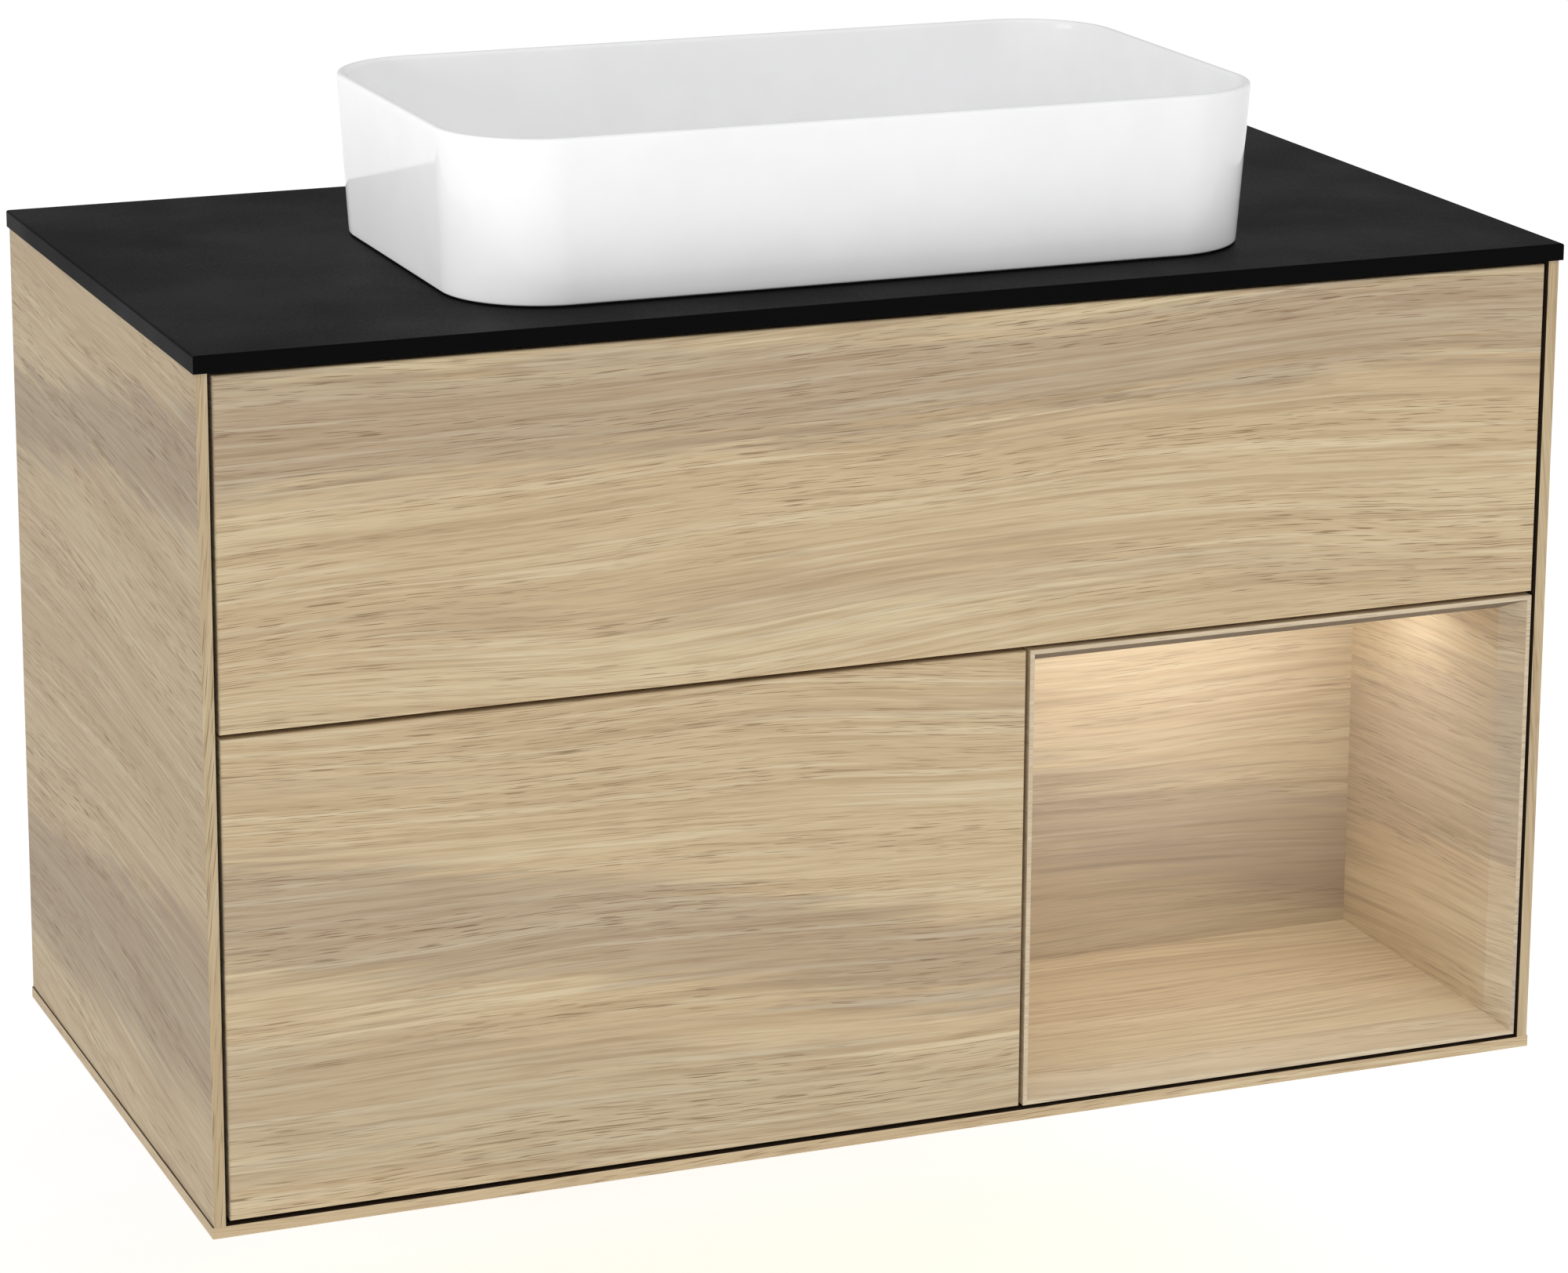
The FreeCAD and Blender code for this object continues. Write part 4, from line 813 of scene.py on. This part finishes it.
def basin_rule() -> Rule:
    """Rule that sweeps a list of rounded rectangles, given as attributes, into one closed shell.

    Returns:
        The rule.
    """
    rule = Rule("rounded_rectangle_shell", {"Corner Steps": "NodeSocketInt",
                                            "Centre": "NodeSocketVector",
                                            "Material": "NodeSocketMaterial"})
    g, source = rule.graph, rule.source
    count = g.node("GeometryNodeAttributeDomainSize", {"Geometry": source["Geometry"]})
    rings = count.outputs["Point Count"]
    side = g.math("ADD", source["Corner Steps"], 1.0)
    around = g.math("MULTIPLY", side, 4.0)
    rows = g.math("ADD", around, 1.0)
    grid = g.node("GeometryNodeMeshGrid",
                  {"Vertices X": g.math("ADD", rings, 1.0), "Vertices Y": rows})
    index = g.node("GeometryNodeInputIndex").outputs[0]
    row = g.math("FLOOR", g.math("DIVIDE", g.math("ADD", index, 0.5), rows))
    ring = g.math("MODULO", row, rings)
    place = g.math("MODULO", g.math("MODULO", index, rows), around)
    corner = g.math("FLOOR", g.math("DIVIDE", g.math("ADD", place, 0.5), side))
    step = g.math("SUBTRACT", place, g.math("MULTIPLY", corner, side))
    share = g.math("DIVIDE", step, source["Corner Steps"])
    turn = g.math("MULTIPLY", g.math("ADD", corner, share), math.pi / 2)
    middle = g.math("MULTIPLY", g.math("ADD", corner, 0.5), math.pi / 2)

    def sampled(label: str) -> Socket:
        """Give a ring attribute's value at this place.

        Args:
            label: The attribute's name.

        Returns:
            Its value's socket.
        """
        attribute = g.node("GeometryNodeInputNamedAttribute", {"Name": label}, data_type="FLOAT")
        node = g.node("GeometryNodeSampleIndex", {"Geometry": source["Geometry"], "Index": ring},
                      data_type="FLOAT", domain="POINT")
        g.feed(node.inputs["Value"], attribute.outputs[0])
        return node.outputs[0]

    radius = sampled("corner")
    sides = []
    for label, wave in (("half_long", "COSINE"), ("half_wide", "SINE")):
        straight = g.math("SUBTRACT", sampled(label), radius)
        corner_spot = g.math("MULTIPLY", straight, g.math("SIGN", g.math(wave, middle)))
        sides.append(g.math("MULTIPLY_ADD", radius, g.math(wave, turn), corner_spot))
    spot = g.node("ShaderNodeCombineXYZ", {0: sides[0], 1: sides[1], 2: sampled("level")})
    spot = g.node("ShaderNodeVectorMath", {0: spot.outputs[0], 1: source["Centre"]},
                  operation="ADD")
    placed = g.node("GeometryNodeSetPosition",
                    {"Geometry": grid.outputs["Mesh"], "Position": spot.outputs[0]})
    merged = g.node("GeometryNodeMergeByDistance",
                    {"Geometry": placed.outputs[0], "Distance": WELD})
    even = g.node("GeometryNodeSetShadeSmooth",
                  {"Geometry": merged.outputs[0], "Shade Smooth": True})
    rule.close(even.outputs[0])
    return rule


def ribbed_nut_rule() -> Rule:
    """Rule for a hand-tightened nut: a rounded ring with grip ribs round it, at a given centre.

    Returns:
        The rule.
    """
    rule = Rule("ribbed_nut", {"Radius": "NodeSocketFloat", "Bore": "NodeSocketFloat",
                               "Height": "NodeSocketFloat", "Ribs": "NodeSocketInt",
                               "Rib Radius": "NodeSocketFloat", "Turn": "NodeSocketVector",
                               "Centre": "NodeSocketVector", "Material": "NodeSocketMaterial"})
    g, source = rule.graph, rule.source
    edge_round, rib_share = 0.0012, 0.86
    middle = g.math("MULTIPLY", g.math("ADD", source["Radius"], source["Bore"]), 0.5)
    path = g.node("GeometryNodeCurvePrimitiveCircle", {"Resolution": 72, "Radius": middle})
    thick = g.math("SUBTRACT", source["Radius"], source["Bore"])
    wall = g.node("GeometryNodeCurvePrimitiveQuadrilateral",
                  {"Width": thick, "Height": source["Height"]})
    soft = g.node("GeometryNodeFilletCurve",
                  {"Curve": wall.outputs[0], "Count": 4, "Radius": edge_round}, mode="POLY")
    body = g.node("GeometryNodeCurveToMesh",
                  {"Curve": path.outputs[0], "Profile Curve": soft.outputs[0]})
    posts = g.node("GeometryNodeCurvePrimitiveCircle",
                   {"Resolution": source["Ribs"], "Radius": source["Radius"]})
    long = g.math("MULTIPLY", source["Height"], rib_share)
    rib = g.node("GeometryNodeMeshCylinder",
                 {"Vertices": 10, "Radius": source["Rib Radius"], "Depth": long})
    ribs = g.node("GeometryNodeInstanceOnPoints",
                  {"Points": posts.outputs[0], "Instance": rib.outputs["Mesh"]})
    both = g.node("GeometryNodeJoinGeometry")
    for part in (ribs.outputs[0], body.outputs[0]):
        g.tree.links.new(part, both.inputs[0])
    placed = g.node("GeometryNodeTransform", {"Geometry": both.outputs[0],
                                              "Translation": source["Centre"],
                                              "Rotation": source["Turn"]})
    rule.close(placed.outputs[0])
    return rule


def screw_rule() -> Rule:
    """Rule that sets a screw on each point, turned as the point's attribute says.

    Returns:
        The rule.
    """
    rule = Rule("screws_on_points", {"Screw": "NodeSocketObject", "Material": "NodeSocketMaterial"})
    g, source = rule.graph, rule.source
    screw = g.node("GeometryNodeObjectInfo", {"Object": source["Screw"]})
    turn = g.node("GeometryNodeInputNamedAttribute", {"Name": "turn"}, data_type="FLOAT_VECTOR")
    facing = g.node("FunctionNodeEulerToRotation", {0: turn.outputs[0]})
    set_on = g.node("GeometryNodeInstanceOnPoints", {"Points": source["Geometry"],
                                                     "Instance": screw.outputs["Geometry"],
                                                     "Rotation": facing.outputs[0]})
    rule.close(set_on.outputs[0])
    return rule


# ---------------------------------------------------------------- sub-assemblies

@dataclass
class Basin:
    """The thin-walled vessel basin, swept ring by ring from its own sizes.

    Attributes:
        foot: Half length and half width at the foot.
        rim: Half length and half width at the rim.
        corner: Plan radius of the outside corners.
        wall: Wall thickness.
        floor: Floor thickness.
        bowl_round: Radius between the bowl's floor and walls.
        rim_round: Radius of the rim's edges.
        foot_round: Radius of the foot's edge.
        recess: Radius and depth of the waste's recess.
        bore: Radius of the waste's bore.
        land: Width of the flat rings beside a rounding.
        soft: Radius of the recess's upper edge.
        fine: Chamfer of the bore's edge.
        pad: How far the flat ring under the foot reaches past the recess.
        root: Chamfer at the recess's bottom.
        corner_steps: Segments in a quarter turn.
        rings: Half length, half width, corner radius and height of each ring.
    """

    foot: tuple[float, float] = (0.294, 0.1685)
    rim: tuple[float, float] = (0.300, 0.1745)
    corner: float = 0.070
    wall: float = 0.007
    floor: float = 0.014
    bowl_round: float = 0.030
    rim_round: float = 0.0028
    foot_round: float = 0.0015
    recess: tuple[float, float] = (0.036, 0.003)
    bore: float = 0.023
    land: float = 0.012
    soft: float = 0.0008
    fine: float = 0.0006
    pad: float = 0.02
    root: float = 0.0004
    corner_steps: int = 32
    rings: list[tuple[float, float, float, float]] = field(default_factory=list)

    def ring(self, inset: float, level: float, high: float) -> None:
        """Add a ring that lies inside the outer wall.

        Args:
            inset: Distance inside the outer wall at that level.
            level: Height over the foot.
            high: The basin's height.
        """
        share = level / high
        half_long = self.foot[0] + (self.rim[0] - self.foot[0]) * share - inset
        half_wide = self.foot[1] + (self.rim[1] - self.foot[1]) * share - inset
        self.rings.append((half_long, half_wide, self.corner - inset, level))

    def arc(self, inset: float, level: float, radius: float, start: float, end: float,
            steps: int, high: float) -> None:
        """Add the rings of a rounding.

        Args:
            inset: The rounding's centre inside the outer wall.
            level: The centre's height.
            radius: The rounding's radius.
            start: First angle; 0 points outwards and 90 up.
            end: Last angle.
            steps: Number of segments.
            high: The basin's height.
        """
        for number in range(steps + 1):
            angle = math.radians(start + (end - start) * number / steps)
            self.ring(inset - radius * math.cos(angle), level + radius * math.sin(angle), high)

    def circle(self, radius: float, level: float) -> None:
        """Add a round ring about the waste."""
        self.rings.append((radius, radius, radius, level))

    def outline(self, high: float) -> None:
        """List every ring, from the bore under the foot, over the rim and back to the bore.

        Args:
            high: The basin's height.
        """
        recess, deep = self.recess
        self.circle(self.bore, 0.0)
        self.circle(recess + self.pad, 0.0)
        self.ring(self.foot_round + self.land, 0.0, high)
        self.arc(self.foot_round, self.foot_round, self.foot_round, -90, 0, 4, high)
        for share in (0.05, 0.15, 0.3, 0.5, 0.7, 0.85, 0.95):
            self.ring(0.0, high * share, high)
        rim = high - self.rim_round
        self.arc(self.rim_round, rim, self.rim_round, 0, 90, 7, high)
        self.arc(self.wall - self.rim_round, rim, self.rim_round, 90, 180, 7, high)
        top = self.floor + self.bowl_round
        for share in (0.06, 0.25, 0.5, 0.75, 0.94):
            self.ring(self.wall, rim - (rim - top) * share, high)
        self.arc(self.wall + self.bowl_round, top, self.bowl_round, 0, -90, 14, high)
        self.ring(self.wall + self.bowl_round + self.land, self.floor, high)
        self.circle(recess + self.land, self.floor)
        for angle in (90, 60, 30, 0):
            turn = math.radians(angle)
            self.circle(recess + self.soft - self.soft * math.cos(turn),
                        self.floor - self.soft + self.soft * math.sin(turn))
        self.circle(recess, self.floor - deep + self.root)
        self.circle(recess - self.root, self.floor - deep)
        self.circle(self.bore + self.fine, self.floor - deep)
        self.circle(self.bore, self.floor - deep - self.fine)

    def build(self, finish: Coating) -> Thing:
        """Build the basin and put it in place of its CAD node.

        Args:
            finish: The glaze.

        Returns:
            The basin.
        """
        low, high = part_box("basin")
        self.outline(high.z - low.z)
        seed = mesh_object("basin_rings", [(0, 0, ring[3]) for ring in self.rings], [])
        for place, label in enumerate(("half_long", "half_wide", "corner", "level")):
            layer = seed.data.attributes.new(label, "FLOAT", "POINT")
            layer.data.foreach_set("value", [ring[place] for ring in self.rings])
        centre = ((low.x + high.x) / 2, (low.y + high.y) / 2, low.z)
        piece = basin_rule().run("vessel_basin", seed, {
            "Corner Steps": self.corner_steps, "Centre": centre, "Material": finish.material()})
        point_outwards(piece)
        settle(piece, "cabinet", "sanitary_ceramic", "basin")
        return piece


def point_outwards(piece: Thing) -> None:
    """Turn a closed piece's faces outwards.

    Args:
        piece: The piece.
    """
    shape = bmesh.new()
    shape.from_mesh(piece.data)
    bmesh.ops.recalc_face_normals(shape, faces=shape.faces)
    shape.to_mesh(piece.data)
    shape.free()


def settle(piece: Thing, body: str, slot: str, *nodes: str) -> None:
    """Let a finished piece ride on its body and stand for its CAD nodes.

    Args:
        piece: The piece.
        body: The CAD body it rides on.
        slot: The record's material slot; not used.
        *nodes: The CAD nodes that it stands for.
    """
    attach(piece, body)
    if nodes:
        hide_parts(*nodes)
    log.info("%s: %d faces, on %s", piece.name, len(piece.data.polygons), body)


@dataclass
class Waste:
    """The click waste's plug, turned with a soft crown.

    Attributes:
        stem: The stem's radius.
        edge: Height of the plug's upright edge.
        crown: How far its top swells above that edge.
        soft: Radius of its lower edge.
        neck: Chamfer between stem and plug.
        bevel: Height of its upper edge's bevel.
        step: Width of that bevel.
    """

    stem: float = 0.003
    edge: float = 0.0025
    crown: float = 0.0029
    soft: float = 0.0006
    neck: float = 0.001
    bevel: float = 0.0004
    step: float = 0.0003

    def build(self, finish: Coating) -> None:
        """Build the plug in place of its CAD node.

        Args:
            finish: The plug's finish.
        """
        low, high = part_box("drain_plug")
        radius = (high.x - low.x) / 2
        base = high.z - low.z - self.edge - self.crown
        profile = [(0, 0), (self.stem - self.soft, 0), (self.stem, self.soft),
                   (self.stem, base - self.neck), (self.stem + self.neck, base),
                   (radius - self.soft, base), (radius, base + self.soft),
                   (radius, base + self.edge - self.bevel)]
        for share in (1.0, 0.97, 0.92, 0.82, 0.68, 0.5, 0.32, 0.15, 0.0):
            swell = self.crown * (1 - share ** 2) ** 0.9
            profile.append((max(0.0, (radius - self.step) * share), base + self.edge + swell))
        centre = ((low.x + high.x) / 2, (low.y + high.y) / 2, low.z)
        plug = lathe("waste_plug_crowned", profile, centre, 96)
        smooth(plug)
        plug.data.materials.append(finish.material())
        settle(plug, "waste_plug", "chrome", "drain_plug")


@dataclass
class TrapNuts:
    """The trap's two ribbed slip nuts.

    Attributes:
        bore: Radius of the opening round the pipe.
        ribs: Number of grip ribs.
        rib: Radius of a rib.
    """

    bore: float = 0.0212
    ribs: int = 30
    rib: float = 0.0011

    def build(self, finish: Coating) -> None:
        """Build both nuts in place of their CAD nodes.

        Args:
            finish: The nuts' finish.
        """
        rule = ribbed_nut_rule()
        material = finish.material()
        for node, turn in (("trap_inlet_nut", (0, 0, 0)), ("trap_outlet_nut", (math.pi / 2, 0, 0))):
            low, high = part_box(node)
            sizes = high - low
            height = min(sizes)
            radius = sorted(sizes)[1] / 2 - 2 * self.rib
            seed = mesh_object(node + "_seed", [(0, 0, 0)], [])
            nut = rule.run(node + "_ribbed", seed, {
                "Radius": radius, "Bore": self.bore, "Height": height, "Ribs": self.ribs,
                "Rib Radius": self.rib, "Turn": turn, "Centre": tuple((low + high) / 2),
                "Material": material})
            smooth(nut)
            settle(nut, "cabinet", "trap_plastic", node)


@dataclass
class RunnerScrews:
    """The runner screws, each with a cross recess in its head.

    Attributes:
        head: Radius of the head.
        head_high: Height of the head.
        shank: Radius of the shank.
        thread: Depth of the thread's ridges.
        pitch: Distance from ridge to ridge.
        recess: Half length, half width and depth of the cross.
    """

    head: float = 0.0035
    head_high: float = 0.002
    shank: float = 0.0016
    thread: float = 0.0003
    pitch: float = 0.0012
    recess: Point = (0.0019, 0.00035, 0.0009)

    def master(self, long: float) -> Thing:
        """Build one screw whose head's top is at the origin and faces +X.

        Args:
            long: Its whole length.

        Returns:
            The screw.
        """
        under, pitch = -self.head_high, self.pitch
        soft = self.head_high * 0.3
        profile = [(0, 0), (self.head * 0.7, 0), (self.head - soft * 0.4, -soft * 0.4),
                   (self.head, -soft), (self.head, under), (self.shank, under)]
        level = under - pitch
        while level > -long + 2.5 * pitch:
            profile += [(self.shank, level), (self.shank + self.thread, level - pitch * 0.3),
                        (self.shank, level - pitch * 0.6)]
            level -= pitch
        profile += [(self.shank, level), (0, -long)]
        screw = lathe("screw_master", profile, (0, 0, 0), 20)
        half, thin, deep = self.recess
        cutters = []
        for size in ((half, thin), (thin, half)):
            low, high = (-size[0], -size[1], -deep), (size[0], size[1], deep)
            cutter = mesh_object("cross", *box_faces(low, high))
            cut = screw.modifiers.new("cross", "BOOLEAN")
            cut.operation = "DIFFERENCE"
            cut.object = cutter
            cut.solver = "EXACT"
            cutters.append(cutter)
        graph = bpy.context.evaluated_depsgraph_get()
        mesh = bpy.data.meshes.new_from_object(screw.evaluated_get(graph), depsgraph=graph)
        mesh.transform(Matrix.Rotation(math.pi / 2, 4, "Y"))
        screw.modifiers.clear()
        screw.data = mesh
        for cutter in cutters:
            bpy.data.objects.remove(cutter)
        return screw

    def build(self, nodes: Nodes, finish: Coating) -> None:
        """Set a screw at each of the CAD screws, all of them one piece.

        Args:
            nodes: The frame's CAD nodes.
            finish: The screws' finish.
        """
        found = islands(nodes["runner_screws"])
        points, turns = [], []
        walls = [islands(nodes[name]) for name in ("upper_cabinet_rails", "lower_cabinet_rails")]
        rails = [box for boxes in walls for box in boxes]
        for low, high in found:
            middle = (low + high) / 2
            rail = min(rails, key=lambda box: ((box[0] + box[1]) / 2 - middle).length_squared)
            inward = (rail[0].x + rail[1].x) / 2 > middle.x
            points.append((high.x if inward else low.x, middle.y, middle.z))
            turns += [0, 0, 0 if inward else math.pi]
        long = found[0][1].x - found[0][0].x
        master = self.master(long)
        seed = mesh_object("screw_points", points, [])
        seed.data.attributes.new("turn", "FLOAT_VECTOR", "POINT").data.foreach_set("vector", turns)
        screws = screw_rule().run("runner_screws_crossed", seed,
                                  {"Screw": master, "Material": finish.material()})
        bpy.data.objects.remove(master)
        smooth(screws)
        settle(screws, "cabinet", "screw_steel", "runner_screws")


def box_faces(low: Point, high: Point) -> tuple[list[Point], list[tuple[int, ...]]]:
    """Give the corners and faces of a box.

    Args:
        low: Its lowest corner.
        high: Its highest corner.

    Returns:
        The vertices and the faces.
    """
    points = [(x, y, z) for x in (low[0], high[0]) for y in (low[1], high[1])
              for z in (low[2], high[2])]
    faces = [(0, 1, 3, 2), (4, 6, 7, 5), (0, 4, 5, 1), (2, 3, 7, 6), (0, 2, 6, 4), (1, 5, 7, 3)]
    return points, faces


@dataclass
class Housings:
    """The moulded push-to-open units and the light's power supply, with rounded edges.

    Attributes:
        rounding: Edge radius of the mouldings.
    """

    rounding: float = 0.0012

    def build(self, nodes: Nodes) -> None:
        """Build both in place of their CAD nodes.

        Args:
            nodes: The CAD nodes by name.
        """
        for node, finish, slot in (("release_units", HOUSING, "release_plastic"),
                                   ("led_driver", DRIVER, "driver_plastic")):
            piece = rounded_copy(nodes[node], self.rounding)
            smooth(piece, 50)
            piece.data.materials.append(finish.material())
            settle(piece, "cabinet", slot, node)


@dataclass
class Boards:
    """Every board and fitting that keeps its CAD mesh, with its own finish.

    Attributes:
        nodes: The CAD nodes by name.
    """

    nodes: Nodes

    def dress(self) -> None:
        """Give each CAD node its material."""
        for name, veneer in VENEERS.items():
            self.put(name, veneer.material())
        for coating, names in COATINGS.items():
            material = coating.material()
            for name in names:
                self.put(name, material)

    def put(self, name: str, material: bpy.types.Material) -> None:
        """Put one material on a CAD node.

        Args:
            name: The node's name.
            material: Its material.
        """
        node = self.nodes[name]
        if not node.material_slots:
            node.data.materials.append(material)
        for slot in node.material_slots:
            slot.material = material
        log.info("%s: %s", name, material.name)


@dataclass(frozen=True)
class Softbox:
    """A rectangular soft light.

    Attributes:
        name: Its name.
        place: Where it is.
        aim: The point it faces.
        size: Its width and height.
        power: Its power in watts.
        colour: Its colour.
    """

    name: str
    place: Point
    aim: Point
    size: tuple[float, float]
    power: float
    colour: Point = (1.0, 1.0, 1.0)

    def build(self, only: bpy.types.Collection | None = None) -> None:
        """Make the light.

        Args:
            only: The pieces that it lights and that shade it, or None for all.
        """
        data = bpy.data.lights.new(self.name, "AREA")
        data.shape = "RECTANGLE"
        data.size, data.size_y = self.size
        data.energy = self.power
        data.color = self.colour
        lamp = linked(self.name, data)
        lamp.location = self.place
        lamp.rotation_mode = "QUATERNION"
        lamp.rotation_quaternion = (Vector(self.aim) - Vector(self.place)).to_track_quat("-Z", "Y")
        lamp.visible_camera = False
        lamp.light_linking.receiver_collection = only
        lamp.light_linking.blocker_collection = only


BASIN_MIDDLE = (0.0, -0.28, 0.13)
ROOM_LIGHTS = (Softbox("front_softbox", (1.6, -3.6, 2.0), (0.1, -0.3, -0.2), (2.4, 1.8), 18),
               Softbox("top_softbox", (0.2, -0.9, 2.6), (0.0, -0.3, 0.0), (2.0, 1.4), 6))
BASIN_LIGHTS = (Softbox("basin_left", (-2.8, -0.9, 0.3), BASIN_MIDDLE, (1.2, 1.2), 32),
                Softbox("basin_low", (-0.4, -3.2, -1.5), BASIN_MIDDLE, (2.4, 1.0), 1.0),
                Softbox("basin_top", (-0.5, -1.3, 1.8), BASIN_MIDDLE, (1.3, 1.3), 4.0))


@dataclass
class Studio:
    """Pale floor, soft lights, the niche's light and the camera.

    Attributes:
        eye: The camera's place.
        target: The point it looks at.
        roll: Its roll in degrees.
        lens: Focal length in millimetres on a 36 mm wide picture.
        shift: Vertical shift.
        floor_level: The floor's height.
        floor_thick: Its thickness.
        floor_reach: How far it runs each way.
        floor_glow: Strength of the light that it gives off.
        world_strength: Strength of the surroundings' light.
        niche_gap: Distance of the niche's light under its diffuser.
        niche_share: Its length as a share of the diffuser's.
        niche_power: Its power in watts.
        niche_colour: Its colour.
    """

    eye: Point = (-1.3358, -3.5719, 0.8104)
    target: Point = (0.0072, -0.25, -0.066)
    roll: float = -0.297
    lens: float = 117.2
    shift: float = -0.14
    floor_level: float = -0.775
    floor_thick: float = 0.1
    floor_reach: float = 40.0
    floor_glow: float = 0.5
    world_strength: float = 0.56
    niche_gap: float = 0.001
    niche_share: float = 0.8
    niche_power: float = 0.37
    niche_colour: Point = (1.0, 0.98, 0.95)

    def camera(self) -> None:
        """Make the camera."""
        data = bpy.data.cameras.new("camera")
        data.lens = self.lens
        data.sensor_width = 36.0
        data.shift_y = self.shift
        data.clip_end = 100.0
        camera = linked("camera", data)
        forward = (Vector(self.target) - Vector(self.eye)).normalized()
        level = forward.cross(Vector((0, 0, 1))).normalized()
        right = Matrix.Rotation(math.radians(self.roll), 3, forward) @ level
        up = right.cross(forward)
        turned = Matrix((right, up, -forward)).transposed()
        camera.matrix_world = Matrix.Translation(self.eye) @ turned.to_4x4()
        bpy.context.scene.camera = camera

    def floor(self) -> None:
        """Make the plain pale floor."""
        far = self.floor_reach
        floor = mesh_object("floor", *box_faces((-far, -far, self.floor_level - self.floor_thick),
                                                (far, far, self.floor_level)))
        material, graph, shader = new_material("pale_floor")
        places = graph.node("ShaderNodeTexCoord").outputs["Object"]
        tone = graph.span(graph.noise(places, (3, 3, 3)), 0.3, 0.7)
        graph.fill(shader, {
            "Base Color": graph.mix(tone, srgb(246, 246, 246), srgb(250, 250, 250)),
            "Roughness": 0.9, "Specular IOR Level": 0.0,
            "Emission Color": (1, 1, 1, 1), "Emission Strength": self.floor_glow})
        floor.data.materials.append(material)

    def world(self) -> None:
        """Make the even white surroundings, which look white and light the scene more softly."""
        world = bpy.data.worlds.new("studio")
        world.use_nodes = True
        graph = Graph(world.node_tree)
        background = world.node_tree.nodes["Background"]
        background.inputs["Color"].default_value = (1, 1, 1, 1)
        seen = graph.node("ShaderNodeLightPath").outputs["Is Camera Ray"]
        graph.feed(background.inputs["Strength"],
                   graph.span(seen, 0.0, 1.0, self.world_strength, 1.0))
        bpy.context.scene.world = world

    def lights(self, basin: Thing, nodes: Nodes) -> None:
        """Make the lights.

        Args:
            basin: The basin, which has three softboxes of its own.
            nodes: The CAD nodes by name; those of the niche have a light of their own.
        """
        glazed = bpy.data.collections.new("glazed")
        glazed.objects.link(basin)
        niche = bpy.data.collections.new("niche")
        for name, node in nodes.items():
            if name.startswith("niche_"):
                niche.objects.link(node)
        for softbox in ROOM_LIGHTS:
            softbox.build()
        for softbox in BASIN_LIGHTS:
            softbox.build(glazed)
        low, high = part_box("led_diffuser")
        spot = ((low.x + high.x) / 2, (low.y + high.y) / 2, low.z - self.niche_gap)
        below = (spot[0], spot[1], spot[2] - 1)
        size = ((high.x - low.x) * self.niche_share, high.y - low.y)
        Softbox("niche_light", spot, below, size, self.niche_power, self.niche_colour).build(niche)

    def build(self, basin: Thing, nodes: Nodes) -> None:
        """Make all of it round the finished basin and the dressed nodes.

        Args:
            basin: The basin.
            nodes: The CAD nodes by name.
        """
        scene = bpy.context.scene
        scene.view_settings.view_transform = "Standard"
        scene.view_settings.look = "None"
        self.camera()
        self.world()
        self.floor()
        self.lights(basin, nodes)


# ---------------------------------------------------------------- main

def main() -> None:
    """Build every part in order."""
    logging.basicConfig(level=logging.INFO, format="%(message)s")
    for thing in list(bpy.data.objects):
        bpy.data.objects.remove(thing)
    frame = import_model()
    nodes = frame["nodes"]
    Boards(nodes).dress()
    Studio().build(Basin().build(CERAMIC), nodes)
    Waste().build(CHROME)
    TrapNuts().build(TRAP)
    RunnerScrews().build(nodes, SCREW)
    Housings().build(nodes)


if __name__ == "__main__":
    main()
